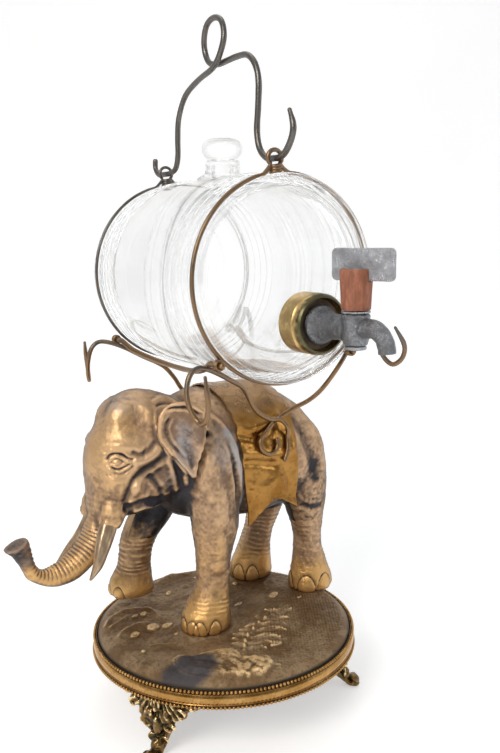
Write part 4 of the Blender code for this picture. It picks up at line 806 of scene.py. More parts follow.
def ground_bronze():
    """Cast ground of the disc: olive brown, golden on what stands up, as rubbed metal with painted highlight."""
    f = Finish("cast ground", metallic=0.6)
    wear_and_highlight, painted_shine, violet = (f.attribute(name) for name in ("wear_and_highlight", "warm", "bloom_stain_and_reflection"))
    cloud, grit = f.noise(48, 6, 0.66), f.noise(640, 5, 0.75)
    colour = f.over(chosen("base").earth, (0.35, 0.235, 0.125), cloud, 0.42, 0.60)
    colour = f.over(colour, (0.10, 0.068, 0.040), grit, 0.48, 0.66, 0.75)
    # Golden where the relief stands up and shines: rubbed metal with painted highlight
    share = f.add(f.times(painted_shine, f.ramp(grit, 0.36, 0.6, 0.3, 1.0)), wear_and_highlight)
    colour = f.over(colour, (0.78, 0.54, 0.27), share, 0.45, 1.0)
    colour = f.over(colour, (0.060, 0.056, 0.066), violet, 0.1, 0.8, 0.93)
    # Near black in the relief's hollows and along the disc's outer edge
    colour = f.mix(f.attribute("recess"), colour, (0.040, 0.028, 0.018))
    return f.end(colour, f.ramp(share, 0.2, 1.0, 0.55, 0.30), f.bump(grit, 0.8, 0.0007))


def gilt_brass():
    if known("gilt brass"):
        return known("gilt brass")
    f = Finish("gilt brass", metallic=1.0)
    cloud, grime = f.noise(90, 5, 0.6), f.noise(700, 5, 0.7)
    colour = f.over(chosen("base").gilt, (0.52, 0.30, 0.105), cloud, 0.35, 0.7)
    colour = f.over(colour, (0.16, 0.085, 0.03), grime, 0.50, 0.72, 0.6)
    colour = f.mix(f.attribute("recess"), colour, (0.045, 0.022, 0.010))
    rough = f.add(f.ramp(cloud, 0.3, 0.7, 0.16, 0.28), f.ramp(grime, 0.5, 0.8, 0.0, 0.25))
    return f.end(colour, rough, f.bump(grime, 0.18, 0.0002))


def foot_brass():
    """Feet of worn gilt brass: brown, with painted highlight in pale golden on the raised leaves and green-black in
    the hollows between them.
    """
    f = Finish("foot brass with painted highlight", metallic=0.95)
    wear_and_highlight, cloud = f.attribute("wear_and_highlight"), f.noise(160, 5, 0.65)
    colour = f.over((0.25, 0.135, 0.042), (0.11, 0.075, 0.03), cloud, 0.36, 0.62)
    # Painted highlight in pale golden on the raised leaves
    colour = f.over(colour, (0.86, 0.66, 0.36), wear_and_highlight, 0.68, 1.0)
    colour = f.over(colour, (0.028, 0.024, 0.012), f.attribute("recess"), 0.18, 0.6)
    return f.end(colour, f.ramp(wear_and_highlight, 0.2, 0.9, 0.42, 0.20), f.bump(cloud, 0.3, 0.0003))


def clear_glass():
    """Blown glass. Where it is seen face on it passes light without bending it, so that its walls stay clear."""
    if known("clear blown glass"):
        return known("clear blown glass")
    f = Finish("clear blown glass", Transmission_Weight=1.0, IOR=1.44)
    wave, smear = f.noise(60, 3, 0.5), f.noise(34, 6, 0.66)
    colour = f.over(chosen("barrel").tint, (0.94, 0.945, 0.93), smear, 0.4, 0.75, 0.4)
    facing = f.node("LayerWeight", {"Blend": 0.35}, output="Facing")
    # Painted reflection: grey-brown laid over the glass where it is seen at a grazing angle
    colour = f.over(colour, (0.52, 0.47, 0.42), facing, 0.40, 0.90, 0.9)
    f.end(colour, f.ramp(smear, 0.45, 0.8, 0.01, 0.12), f.bump(wave, 0.1, 0.001))
    clear = f.node("BsdfTransparent", {"Color": (1, 1, 1, 1)})
    mixed = f.node("MixShader", {0: f.ramp(facing, 0.20, 0.72, 0.80, 0.0), 1: f.shader.outputs[0], 2: clear})
    f.tree.links.new(mixed, f.tree.nodes["Material Output"].inputs["Surface"])
    return f.material


def wire_metal():
    """Iron wire with a brassy wash: attribute brass is 1 on the lower wires."""
    if known("washed wire"):
        return known("washed wire")
    wires = chosen("wires")
    f = Finish("washed wire", metallic=1.0)
    cloud, grit = f.noise(170, 5, 0.66), f.noise(1600, 4, 0.7)
    colour = f.over(wires.steel, wires.brass, f.add(f.attribute("brass"), f.sway(cloud, 1.1)), 0.15, 0.85)
    colour = f.over(colour, (0.10, 0.075, 0.055), grit, 0.52, 0.72, 0.6)
    return f.end(colour, f.ramp(grit, 0.35, 0.7, 0.26, 0.5), f.bump(grit, 0.35, 0.00025))


def pewter(name, share):
    grey = chosen("tap").pewter
    f = Finish(name, metallic=0.9)
    cloud, pits = f.noise(190, 6, 0.68), f.noise(1300, 4, 0.7)
    colour = f.over(dim(grey, share * 0.62), dim(grey, share), cloud, 0.36, 0.66)
    colour = f.over(colour, (0.60, 0.58, 0.54), pits, 0.58, 0.72, 0.8)
    return f.end(colour, f.ramp(cloud, 0.3, 0.7, 0.40, 0.22), f.bump(f.add(cloud, pits), 0.8, 0.0009))


def aged_brass():
    """Turned brass of the collar, with grime on its outer lip."""
    brass = chosen("tap").brass
    f = Finish("aged brass", metallic=0.95)
    cloud, lines = f.noise(150, 6, 0.66), f.noise(2400, 2, 0.5, (0.04, 1.0, 0.04))
    colour = f.over(dim(brass, 0.55), brass, cloud, 0.40, 0.66)
    colour = f.over(colour, (0.62, 0.44, 0.18), lines, 0.5, 0.7, 0.35)
    lip = f.maths("SUBTRACT", tap_place().y - LIP_AT, f.node("SeparateXYZ", {"Vector": f.place}, output="Y"))
    lip = f.add(f.times(lip, 260), f.sway(f.noise(420, 5, 0.7), 2.4))
    colour = f.over(colour, (0.062, 0.066, 0.040), lip, 0.0, 0.9, 0.9)
    return f.end(colour, f.ramp(cloud, 0.3, 0.7, 0.45, 0.28), f.bump(f.add(cloud, lines), 0.25, 0.0002))


def rust_sleeve():
    sleeve = chosen("tap").sleeve
    f = Finish("rust brown sleeve", metallic=0.1)
    cloud, pits = f.noise(420, 6, 0.7, (1.0, 1.0, 0.3)), f.cells(900)
    colour = f.over(dim(sleeve, 0.6), sleeve, cloud, 0.36, 0.64)
    colour = f.over(colour, (0.55, 0.27, 0.15), cloud, 0.6, 0.8, 0.6)
    height = f.add(cloud, f.times(pits, 0.4))
    return f.end(colour, f.ramp(cloud, 0.3, 0.7, 0.75, 0.5), f.bump(height, 0.35, 0.0003))


def cork():
    tone = chosen("tap").cork
    f = Finish("cork grain", Roughness=0.85)
    cells, cloud = f.cells(520), f.noise(300, 5, 0.65)
    colour = f.over(tone, dim(tone, 0.5), cloud, 0.4, 0.65)
    colour = f.over(colour, (0.16, 0.09, 0.045), cells, 0.35, 0.6, 0.5)
    return f.end(colour, None, f.bump(cells, 0.5, 0.0005))


# The animal


def animal_place():
    animal = chosen("animal")
    return Matrix.Translation(BASE_PLACE + Vector(animal.shift)) @ Matrix.Rotation(animal.turn, 4, "Z")


def side_of(y):
    return np.where(y < 0, -1, 1)


def torso_volume():
    x, top, under, half = smooth_rows(TORSO, 6).T
    return oval_skin(np.stack([x, 0 * x, (top + under) / 2], -1), (0, 0, 1), (top - under) / 2, half, 56)


def head_volume():
    rows = smooth_rows(HEAD, 6)
    front, back = (np.stack([rows[:, k], 0 * rows[:, k], rows[:, k + 1]], -1) for k in (0, 2))
    reach = front - back
    return oval_skin((front + back) / 2, unit(reach), np.linalg.norm(reach, axis=1) / 2, rows[:, 4], 48)


def leg_volume(name):
    height, x, y, length, width = smooth_rows(LEGS[name], 5).T
    return oval_skin(np.stack([x, y, height], -1), (1, 0, 0), length, width, 36)


def horn_volume(rows, mirror=1):
    rows = smooth_rows(rows, 5)
    return ring_skin(tube_rings(rows[:, :3] * (1, mirror, 1), rows[:, 3], 18))


def ear_volume(side):
    """Leaf of the ear with a thick rim and a hollow face, standing out towards its rear edge."""
    rim = smooth_rows(EAR, 5, closed=True)
    low, high = rim[:, 0].min(), rim[:, 0].max()
    middle = rim.mean(axis=0)
    least, most = EAR_LENGTHS
    layers = []
    for face, shares, hollow in ((1, EAR_SHARES[1:], 1.1), (-1, EAR_SHARES[::-1][1:-1], 0.6)):
        for share in shares:
            x, z = (middle + (rim - middle) * share).T
            roll = 0.5 + 0.5 * share**4 if share < 1 else 0.35
            out = least + (most - least) * ((x - low) / (high - low)) ** 0.8
            out = out + face * EAR_THICKNESS / 2 * roll - hollow * (1 - share**2)
            drop = 3.0 * (side > 0) * ease((z - 95) / 20)
            layers.append(np.stack([x, side * out, z - drop], -1))
    return ring_skin(np.stack(layers))


def chase(clay):
    """Draws the folds, the lids, the swells and the hollows of the animal into its skin."""
    x, y, z = clay.points.T
    side = np.sign(y)
    outward = ease((clay.normals[:, 1] * side + 0.05) / 0.35)
    rise = np.zeros(len(x))
    for hand, width, height, line in STROKES:
        away, along = stroke_distance(clay.points[:, (0, 2)], line)
        taper = ease(np.minimum(along, 1 - along) / 0.14 + 0.12)
        lobe = bell(away / width)
        if height < 0:
            lobe = lobe - 0.35 * bell((away - 2 * width) / width)
        rise += height * lobe * taper * outward * (side == hand if hand else 1)
    for cx, cy, cz, rx, ry, rz, height in SWELLS:
        for hand in (-1, 1) if cy else (1,):
            q = ((x - cx) / rx) ** 2 + ((y - hand * cy) / ry) ** 2 + ((z - cz) / rz) ** 2
            rise += height * dome(q, 1.5)
    clay.push(rise)


def on_leg(name, y):
    """Whether points lie on the leg's side of the body."""
    return side_of(y) == (-1 if name.endswith("left") else 1)


def ring_trunk(clay, rise, uneven, fine):
    """Adds the trunk's rings and the faint folds above them. Returns the rings' height and the ringed part."""
    x, y, z = clay.points.T
    rows = smooth_rows(HEAD, 4)
    line = (rows[:, :2] + rows[:, 2:4]) / 2
    _, along = line_distance(clay.points[:, (0, 2)], line)
    reach = along * np.linalg.norm(np.diff(line, axis=0), axis=1).sum()
    trunk = ease((62.0 - z) / 6) * (x < -66) * (np.abs(y) < 10) * ease((x + 113) / 5)
    centre = unit(np.stack([-102 - x, 0 * y, 62 - z], -1))
    inner = ease((np.einsum("ij,ij->i", clay.normals, centre) + 0.2) / 0.7)
    bars = np.cos(math.tau * (reach / 2.15 + 0.12 * uneven))
    bars = trunk * (np.maximum(bars, -0.8) - 0.1) * (0.8 + 0.4 * fine) * (0.08 + 0.92 * inner)
    rise += 0.40 * bars
    upper = ease((96 - z) / 12) * (x < -66) * (np.abs(y) < 14) * (1 - trunk)
    folds = np.cos(math.tau * (reach / 3.1 + 0.5 * uneven))
    rise += upper * (0.05 * folds + 0.05 * lattice_noise(clay.points, 0.8, 6))
    return bars, trunk


def crease_legs(points, rise, uneven, fine):
    x, y, z = points.T
    for name, low, high, pitch, depth in CREASED:
        heights, middles, sides = np.array(LEGS[name])[:, :3].T
        cx, cy = np.interp(z, heights, middles), np.interp(z, heights, sides)
        near = (np.hypot(x - cx, y - cy) < 17) * on_leg(name, y)
        band = ease((z - low) / 3) * ease((high - z) / 3)
        waves = np.cos(math.tau * ((z + 0.10 * (x - cx)) / pitch + 0.55 * uneven))
        rise += near * band * depth * (np.maximum(waves, -0.3) - 0.2) * (0.6 + 0.8 * fine)


def raise_nails(points, rise):
    """Adds the toe nails. Returns the cuts round them."""
    x, y, z = points.T
    cuts = 0 * z
    for name, (turns, wide, tall) in NAILS.items():
        low, cx, cy = LEGS[name][0][:3]
        away = np.hypot(x - cx, y - cy)
        angle = np.degrees(np.arctan2(-(y - cy), -(x - cx)))
        near = (away < 16) * on_leg(name, y) * (z - low < 14)
        outward = ease((away - 8) / 2)
        for turn in turns:
            q = np.hypot(((angle - turn + 180) % 360 - 180) / wide, (z - low + 0.4) / tall)
            line = near * outward * bell((q - 1.04) / 0.10)
            rise += near * outward * 0.5 * dome(q**2, 0.7) - 0.42 * line
            cuts = np.maximum(cuts, line)
    return cuts


def wrinkle(clay):
    """Rings, creases, nails, grain and the tail's hair, then the hole in the shoulder and the cleft under the tail."""
    points = clay.points
    x, y, z = points.T
    rise = np.zeros(len(points))
    uneven, fine = lattice_noise(points, 7.0, 3), lattice_noise(points, 2.6, 5)
    bars, trunk = ring_trunk(clay, rise, uneven, fine)
    crease_legs(points, rise, uneven, fine)
    cuts = raise_nails(points, rise)
    cast = (y < 0) * ease((100 - z) / 10) * ease((x + 36) / 4)
    grain = 0.20 * uneven + 0.17 * fine + (0.07 + 0.05 * cast) * lattice_noise(points, 1.2, 9)
    rise += grain * np.where(trunk > 0.5, 0.5, 1.0)
    tail = (x > 61) * (z < 42) * (np.abs(y) < 4)
    rise += tail * 0.35 * np.cos(9 * np.arctan2(y, x - 64.5)) * ease((42 - z) / 6)
    clay.push(rise)
    hole = (points[:, 0] - SHOULDER_HOLE[0]) ** 2 / 6.5 + (points[:, 2] - SHOULDER_HOLE[1]) ** 2 / 3.4
    points[:, 1] += (y < -18) * 5.0 * np.exp(-(hole**1.5))
    cleft = bell(y / 2.6) * ease((x - 50) / 8) * ease((z - 46) / 6) * ease((84 - z) / 8) * (np.abs(x - 60) < 9)
    points[:, 0] -= 1.6 * cleft * (np.hypot(x - 66, y) > 3)
    clay.feel()
    return bars, cuts


def tint_animal(clay, bars, cuts):
    """Where the bronze is rubbed and carries painted highlight, dark with patina and painted shade, warm, and pale
    with a grey film and painted reflection.
    """
    x, y, z = clay.points.T
    plane = clay.points[:, (0, 2)]
    up, left = clay.normals[:, 2], y < 0

    def near(line, width):
        return bell(stroke_distance(plane, line)[0] / width)

    def spot(share, cx, cz, rx, rz):
        return share * np.exp(-(((x - cx) / rx) ** 2) - ((z - cz) / rz) ** 2)

    def spots(layer):
        return sum(spot(*row) for row in SPOTS[layer])

    small, wide, broad = (clay.relief(rounds) for rounds in (6, 40, 160))
    # Inner faces of the legs under the body, for painted shade between the legs
    inward = ease(0.3 - clay.normals[:, 1] * side_of(y) * 1.1) * (np.abs(y) > 3) * ease((78 - z) / 8)
    inward *= np.where(x > 0, ease((z - 40) / 12), ease((z - 46) / 20))
    inward *= ease((x + 60) / 6) * (x < 60)
    tip = ease((-104 - x) / 7) * ease((z - 45) / 7)
    # Rubbed bronze on the raised places, with painted highlight on upward faces and on spots of the head, lighter
    # towards the soles and less at the trunk's tip
    wear_and_highlight = 0.43 + 1.2 * small + 0.24 * wide + 0.12 * broad + 0.10 * up + 0.34 * bars
    wear_and_highlight = (wear_and_highlight + spots("wear_and_highlight") + 0.30 * ease((18 - z) / 8)) * (1 - 0.85 * tip)
    # Dark patina in the fine hollows, and painted shade in the broad hollows, on the legs' inner faces, on the
    # undersides, along the belly, under the jaw and the trunk, on the near thigh, in the shoulder's hole, at the rump
    # and along the dark folds; darker also on the chest, the dome, the cheek, round the nails and at the trunk's tip
    recess = -1.4 * small - 0.36 * wide - 0.12 * broad + 0.9 * inward + 0.50 * cuts + 0.62 * tip + spots("recess")
    recess += 0.55 * ease((0.2 - up) / 0.9) * ease((z - 14) / 10) + 0.16 * ease(-bars * 2.2)
    recess += 0.75 * ease((64 - z) / 8) * (np.abs(y) < 18) * (np.abs(x) < 58) * (z > 40)
    recess += spot(0.9, -55, 66, 15, 5) * ease((x + 72) / 4)
    recess += (spot(0.28, 40, 55, 10, 14) + spot(1.0, *SHOULDER_HOLE, 2.6, 1.8)) * left
    recess += 0.45 * ease((47 - z) / 5) * (x < -76) * (x > -112) * ease(-up)
    recess += 0.16 * ease((x - 34) / 8) * ease((z - 56) / 14)
    for share, width, line in DARK_FOLDS:
        recess += share * near(line, width)
    # Pale grey film on the shoulder, the head, the ear and the trunk's tip, with painted reflection along the casting
    # edge and painted highlight on the rump
    bloom_stain_and_reflection = spots("bloom_stain_and_reflection") + 1.1 * near(CASTING_EDGE, 1.9) * left + 0.4 * tip
    bloom_stain_and_reflection += 0.5 * ease((x - 36) / 14) * ease((z - 50) / 20)
    warm = spots("warm") + ease((26 - z) / 14) + 0.35 * ease((-60 - x) / 14) * ease((112 - z) / 12)
    warm += 0.5 * ease((62 - z) / 20) * ease((-14 - x) / 6)
    clay.paint(wear_and_highlight=held(wear_and_highlight), recess=held(recess), bloom_stain_and_reflection=held(bloom_stain_and_reflection), warm=held(warm))


def build_animal_skin():
    animal = chosen("animal")
    skins = [torso_volume(), head_volume()]
    skins += [leg_volume(name) for name in LEGS]
    skins += [ear_volume(side) for side in (-1, 1)]
    skins += [horn_volume(SHEATH, mirror) for mirror in (1, -1)]
    skins.append(horn_volume([(x, 0, z, radius) for x, z, radius in TAIL]))
    growth = animal.height / ANIMAL_PARTS / THOUSANDTH
    skin = fused("elephant_skin", [scaled(volume, growth) for volume in skins], animal.grain)
    clay = Clay(skin.data)
    clay.relax(3)
    seam = (clay.relief(3) < -0.05).astype(float)
    x, y, z = clay.points.T
    ear = (x < -29) * (x > -56) * (z > 76) * (np.abs(y) > 15)
    seam *= 1 - ear
    for _ in range(7):
        seam = held(np.maximum(seam, clay.spread(seam) * 1.6))
    clay.relax(45, 0.6, seam)
    clay.relax(2, 0.4)
    chase(clay)
    tint_animal(clay, *wrinkle(clay))
    nodes = ["torso", "head_with_trunk", "ear_left", "ear_right", "tail", *LEGS]
    dress(skin, animal_place(), cast_bronze(), "stand", "patinated_bronze", *nodes)


def build_tusks():
    material = tusk_bronze()
    for hand, rows in TUSKS.items():
        rows = smooth_rows(rows, 8)
        middles = rows[:, None, :3]
        spokes = tube_rings(rows[:, :3], rows[:, 3], 32) - middles
        outward = unit(np.array((-0.35, -0.9 if hand == "left" else 0.9, 0.15)))
        groove = np.exp(-(1 - unit(spokes) @ outward) / 0.05) * ease(np.linspace(1.4, 0, len(rows)))[:, None]
        points, faces = ring_skin(middles + spokes * (1 - 0.34 * groove[:, :, None]))
        points = points + 0.10 * lattice_noise(points * (1, 1, 0.4), 1.5, 71)[:, None]
        details = (animal_place(), material, "stand", "ivory_bronze", f"tusk_{hand}")
        piece(f"tusk_cast_{hand}", (points, faces), 60, *details)


class Step:
    """A step of the build, which runs its builders in order."""

    def execute(self, context):
        for build in self.builders:
            build()
        return {"FINISHED"}


class DISPENSER_OT_animal(Step, bpy.types.Operator):
    """Cast elephant: one chased skin over torso, head, trunk, ears, legs and tail, and two tusks"""

    bl_idname = "dispenser.animal"
    bl_label = "Cast elephant"
    builders = (build_animal_skin, build_tusks)


# The saddle

# Front and rear edge on the spine, and how far they draw in towards the hem
SADDLE_FRONT, SADDLE_FRONT_TAPER = -14.2, 7.1
SADDLE_REAR, SADDLE_REAR_TAPER = 25.4, 2.9
# Share of the way from spine to hem that goes round the back, before the sheet hangs down
SADDLE_FLANK = 0.6
SADDLE_LIFT = 0.75
SADDLE_THICKNESS = 0.75
SADDLE_GRID = (72, 250)
HEM_HOLE, HEM_HOLE_RADIUS = (7.4, 61.4), 0.8
# Buckles, dents and folds of the sheet on the near flank and, weaker, on the far one: width, rise, line
SADDLE_STROKES = (
    (2, 1.3, ((-12, 101), (-7, 99.6), (-2.2, 98.6), (5.8, 100.2), (14, 103))),
    (1.7, -1.6, ((-12, 96.8), (-6, 95.2), (0, 94), (5.8, 95.6), (10, 98.6))),
    (2.2, 1.2, ((-9, 88), (-2, 87), (5, 85.4), (11, 84), (20, 86))),
    (1.8, -1.1, ((-8.7, 83.4), (0.8, 81.6), (8.8, 79.6))),
    (3, 0.7, ((-4, 71), (3, 69), (10, 73))),
    (0.9, -0.5, ((14, 78), (17, 70), (18, 62))),
    (1.6, -0.7, ((-6, 68), (-4.5, 61), (-2, 55))),
    (2.2, 0.6, ((20.5, 96), (22, 84), (22, 70))),
)


def torso_section(x):
    """Top, underside and half width of the torso at places along it, in thousandths of a metre."""
    rows = smooth_rows(TORSO, 8)
    return tuple(np.interp(x, rows[:, 0], rows[:, k]) for k in (1, 2, 3))


def saddle_grid(along, t):
    """Places on the torso under the sheet, and the way out. t runs from hem to hem, along from front to rear."""
    side, t = side_of(t), np.abs(t)
    front = SADDLE_FRONT + SADDLE_FRONT_TAPER * t
    rear = SADDLE_REAR - SADDLE_REAR_TAPER * t
    x = front + (rear - front) * along
    top, under, half = torso_section(x)
    middle = (top + under) / 2
    hem = np.interp(along, np.linspace(0, 1, len(HEMS)), HEMS)
    turn = held(t / SADDLE_FLANK) * math.pi / 2
    drop = held((t - SADDLE_FLANK) / (1 - SADDLE_FLANK)) * (middle - hem)
    z = middle + (top - middle) * np.cos(turn) - drop
    out = np.stack(np.broadcast_arrays(0 * x, side * np.sin(turn), np.cos(turn)), -1)
    return np.stack([x, side * half * np.sin(turn), z], -1), unit(out)


def build_saddle():
    along, t = np.linspace(0, 1, SADDLE_GRID[0])[:, None], np.linspace(-1, 1, SADDLE_GRID[1])[None, :]
    flat, out = (grid.reshape(-1, 3) for grid in saddle_grid(along, t))
    rise = 0.30 * lattice_noise(flat, 9.0, 21) + 0.16 * lattice_noise(flat, 3.6, 22)
    rise += 0.05 * lattice_noise(flat, 1.4, 23)
    flank = ease((np.abs(flat[:, 1]) - 12) / 8)
    for width, height, line in SADDLE_STROKES:
        away, _ = stroke_distance(flat[:, (0, 2)], line)
        rise += height * bell(away / width) * flank * np.where(flat[:, 1] < 0, 1.0, 0.6)
    rise += 0.35 * np.cos(flat[:, 0] / 5.5 + 1.0) * (1 - flank)
    curl = (0.9 * ease((np.abs(t) - 0.93) / 0.07) * along**2).ravel()
    outer = flat + out * (SADDLE_LIFT + SADDLE_THICKNESS + np.clip(rise, -0.95, 1.5) + curl)[:, None]
    points = np.concatenate([outer, outer - out * SADDLE_THICKNESS])
    edge = np.zeros(SADDLE_GRID)
    edge[0], edge[-1] = -0.5, 0.5
    points[:, 0] += np.tile(edge.ravel() * lattice_noise(flat, 5.0, 24), 2)
    count = len(flat)
    index = np.arange(count).reshape(SADDLE_GRID)
    sheet = np.stack([index[:-1, :-1], index[1:, :-1], index[1:, 1:], index[:-1, 1:]], -1).reshape(-1, 4)
    border = np.concatenate([index[0], index[1:, -1], index[-1, -2::-1], index[-2:0:-1, 0]])
    ahead = np.roll(border, -1)
    strip = np.stack([ahead, border, border + count, ahead + count], -1)
    faces = np.concatenate([sheet, sheet[:, ::-1] + count, strip]).tolist()
    details = (animal_place(), saddle_brass(), "stand", "saddle_brass", "saddle_cloth")
    mesh = piece("saddle_sheet", (points, faces), 50, *details)
    # Greyer and paler towards the top of the sheet, in patches, and at the hem's hole
    greyer_top = ease((flat[:, 2] - 99) / 14) + 0.25 * lattice_noise(flat, 6.0, 25)
    greyer_top += 0.9 * (np.hypot(*(flat[:, (0, 2)] - HEM_HOLE).T) < HEM_HOLE_RADIUS)
    paint(mesh, "recess", held(np.tile(greyer_top, 2)))


class DISPENSER_OT_saddle(Step, bpy.types.Operator):
    """Saddle cloth of buckled sheet brass with a forked hem"""

    bl_idname = "dispenser.saddle"
    bl_label = "Saddle cloth"
    builders = (build_saddle,)


# The base. Tables are measured from its middle.

DISC_SIDES = 420
# Width of the disc's outer lip, and heights of the lip's and the plate's underside
DISC_LIP, LIP_LOW, PLATE_LOW = 4.2, 35.0, 37.4
MOUND = (
    (-41.9, -25.9), (-34.7, -28.9), (-24.6, -30.1), (-15.7, -33.8), (-14.5, -42.3), (-8.6, -46.2), (-4, -50),
    (-6, -56), (-12, -61), (-22, -58.5), (-31, -53), (-38, -46), (-44.8, -38),
)
FERN_STEM = ((-10.5, -36.7), (-4, -28.5), (4.9, -22.3), (15.6, -16.7), (27.7, -11.3))
FERN_RIGHT = ((-1.1, -42), (4.6, -39.4), (10.5, -36.2), (17.1, -32.5), (21.1, -26.8), (25.9, -21.4), (32.8, -14.7))
FERN_LEFT = ((-13.4, -30), (-10, -25), (-6.8, -20.6), (-2, -18.4), (2.6, -16.5), (12, -11.6), (20, -8.6))
# Twigs, blades and cuts on the ground: width, rise, line
GROUND_STROKES = (
    (0.9, 1, ((-57.3, 23.6), (-52, 28.6), (-47.2, 32.2), (-39.1, 33.6), (-33, 31), (-28.8, 26.6), (-28.4, 17.3))),
    (0.6, 0.6, ((-55, 20), (-46, 25), (-38, 26.6), (-31, 22))),
    (0.7, 0.8, ((-56, 8), (-50, 13), (-42, 15), (-34, 12.6))),
    (1, 0.9, ((-10.2, 56.7), (-0.7, 58.5), (6.3, 55.2), (14, 55.8))),
    (1.2, 0.9, ((-25.5, 2.3), (-25, -8), (-20.1, -15.7), (-11, -17.4), (-2.3, -13.3), (3.5, -1.9))),
    (0.7, 0.7, ((-46, -8), (-38, -12), (-30, -13.4))),
    (0.6, -0.6, ((-19.8, -40.6), (-13, -45), (-9.1, -47.7), (-15, -52.6), (-22.6, -56))),
    (0.8, -0.7, ((-36, -33), (-30, -40), (-27, -50))),
    (0.7, 0.8, ((-14, -44), (-10, -52), (-5, -58))),
    (0.6, 0.6, ((-19, -38), (-15, -46), (-13, -55))),
    (0.6, 0.6, ((38, 20), (44, 26), (46, 36))),
    (0.7, 0.6, ((20, 44), (28, 46), (36, 42))),
)
# Stones and pebbles: x, y, two radii, turn in degrees, rise
STONES = (
    (-36.5, 8.6, 3.8, 2.6, 10, 1.5), (-29.6, 6.4, 3, 2.2, -15, 1.3), (-39.3, 24.6, 2.2, 1.3, 20, 0.9),
    (-34.9, 23.9, 1.8, 1.2, 0, 0.8), (-47.5, 6.6, 3.2, 1.8, 25, 1), (-51.6, -12, 1.2, 0.9, 0, 1.2),
    (34.2, 4.7, 4.2, 2.2, 25, 0.8), (12.4, 5.9, 2.6, 1.6, 15, 0.9), (44, -6, 1.6, 1.1, 0, 0.6),
    (5, -41, 4, 1.9, 12, 1.1), (-30, -4, 1.5, 1.1, 40, 0.7), (25, 30, 2.4, 1.6, 60, 0.8),
    (-12, 40, 2.2, 1.6, 30, 0.9), (10, 48, 1.8, 1.3, 0, 0.8), (-20, 48, 2.6, 1.5, -30, 0.8),
)


def inside_outline(points, outline):
    """Whether each point lies inside a closed outline."""
    found = np.zeros(len(points), bool)
    for (ax, ay), (bx, by) in zip(outline, np.roll(outline, -1, axis=0)):
        crossing = (ay > points[:, 1]) != (by > points[:, 1])
        x = ax + (points[:, 1] - ay) / np.where(by == ay, 1e-9, by - ay) * (bx - ax)
        found ^= crossing & (points[:, 0] < x)
    return found


def soles():
    """Middles of the standing feet on the disc."""
    animal = chosen("animal")
    c, s = math.cos(animal.turn), math.sin(animal.turn)
    for name in ("leg_front_left", "leg_rear_left", "leg_rear_right"):
        x, y = LEGS[name][0][1:3]
        yield x * c - y * s + animal.shift[0] / THOUSANDTH, x * s + y * c + animal.shift[1] / THOUSANDTH


def ground_relief(flat):
    """Height of the cast ground over the flat disc, and where it shines."""
    x, y = flat.T
    solid = np.column_stack([flat, 0 * x])
    rise = 0.8 * lattice_noise(solid, 15.0, 31) + 0.5 * lattice_noise(solid, 5.5, 32)
    rise += 0.30 * lattice_noise(solid, 2.2, 33) + 0.16 * lattice_noise(solid, 1.1, 35)
    outline = smooth_rows(MOUND, 4, closed=True)
    away, _ = line_distance(flat, np.concatenate([outline, outline[:1]]))
    mound = np.where(inside_outline(flat, outline), ease((away + 1) / 4.5), 0.22 * bell(away / 1.2))
    veins = np.cos(x * 1.1 + 2.4 * lattice_noise(solid, 6.0, 34)) * 0.2
    rise += mound * (2.5 + veins)
    shine = mound * ease((x + 40) / 10) * (0.62 + 0.4 * lattice_noise(solid, 3.0, 36))
    shine += 0.7 * bell(away / 1.3) * (y > -44)
    stem = smooth_rows(FERN_STEM, 6)
    away, _ = line_distance(flat, stem)
    rise += bell(away)
    shine += 0.25 * bell(away / 0.7)
    gleam = 0.22 + 0.45 * lattice_noise(solid, 3.5, 37)
    for ends in (FERN_RIGHT, FERN_LEFT):
        starts = stem[np.linspace(1, len(stem) - 4, len(ends)).astype(int)]
        for start, end in zip(starts, np.array(ends)):
            middle = (start + end) / 2 + (stem[-1] - stem[0]) * 0.05
            away, along = line_distance(flat, smooth_rows((start, middle, end), 5))
            width = 1.9 * np.sin(math.pi * held(along * 0.85 + 0.12)) + 0.2
            blade = dome((away / width) ** 2)
            rise += 1.25 * blade
            shine += blade * gleam
    for width, height, line in GROUND_STROKES:
        lobe = bell(stroke_distance(flat, line)[0] / (1.9 * width))
        rise += 1.2 * height * lobe
        shine += 0.25 * max(height, 0) * lobe**3
    for cx, cy, long, short, turn, height in STONES:
        c, s = math.cos(math.radians(turn)), math.sin(math.radians(turn))
        dx, dy = x - cx, y - cy
        q = ((dx * c + dy * s) / long) ** 2 + ((dy * c - dx * s) / short) ** 2
        rise += height * dome(q, 0.3)
        shine += 0.6 * ease((1.1 - q) / 0.5)
    stipple = ease((x * 0.8 - y - 22) / 14) * (1 - mound)
    rise += stipple * 0.30 * np.sin(x * 2.6 + y * 0.7) * np.sin(y * 2.8 - x * 0.9)
    return rise, shine


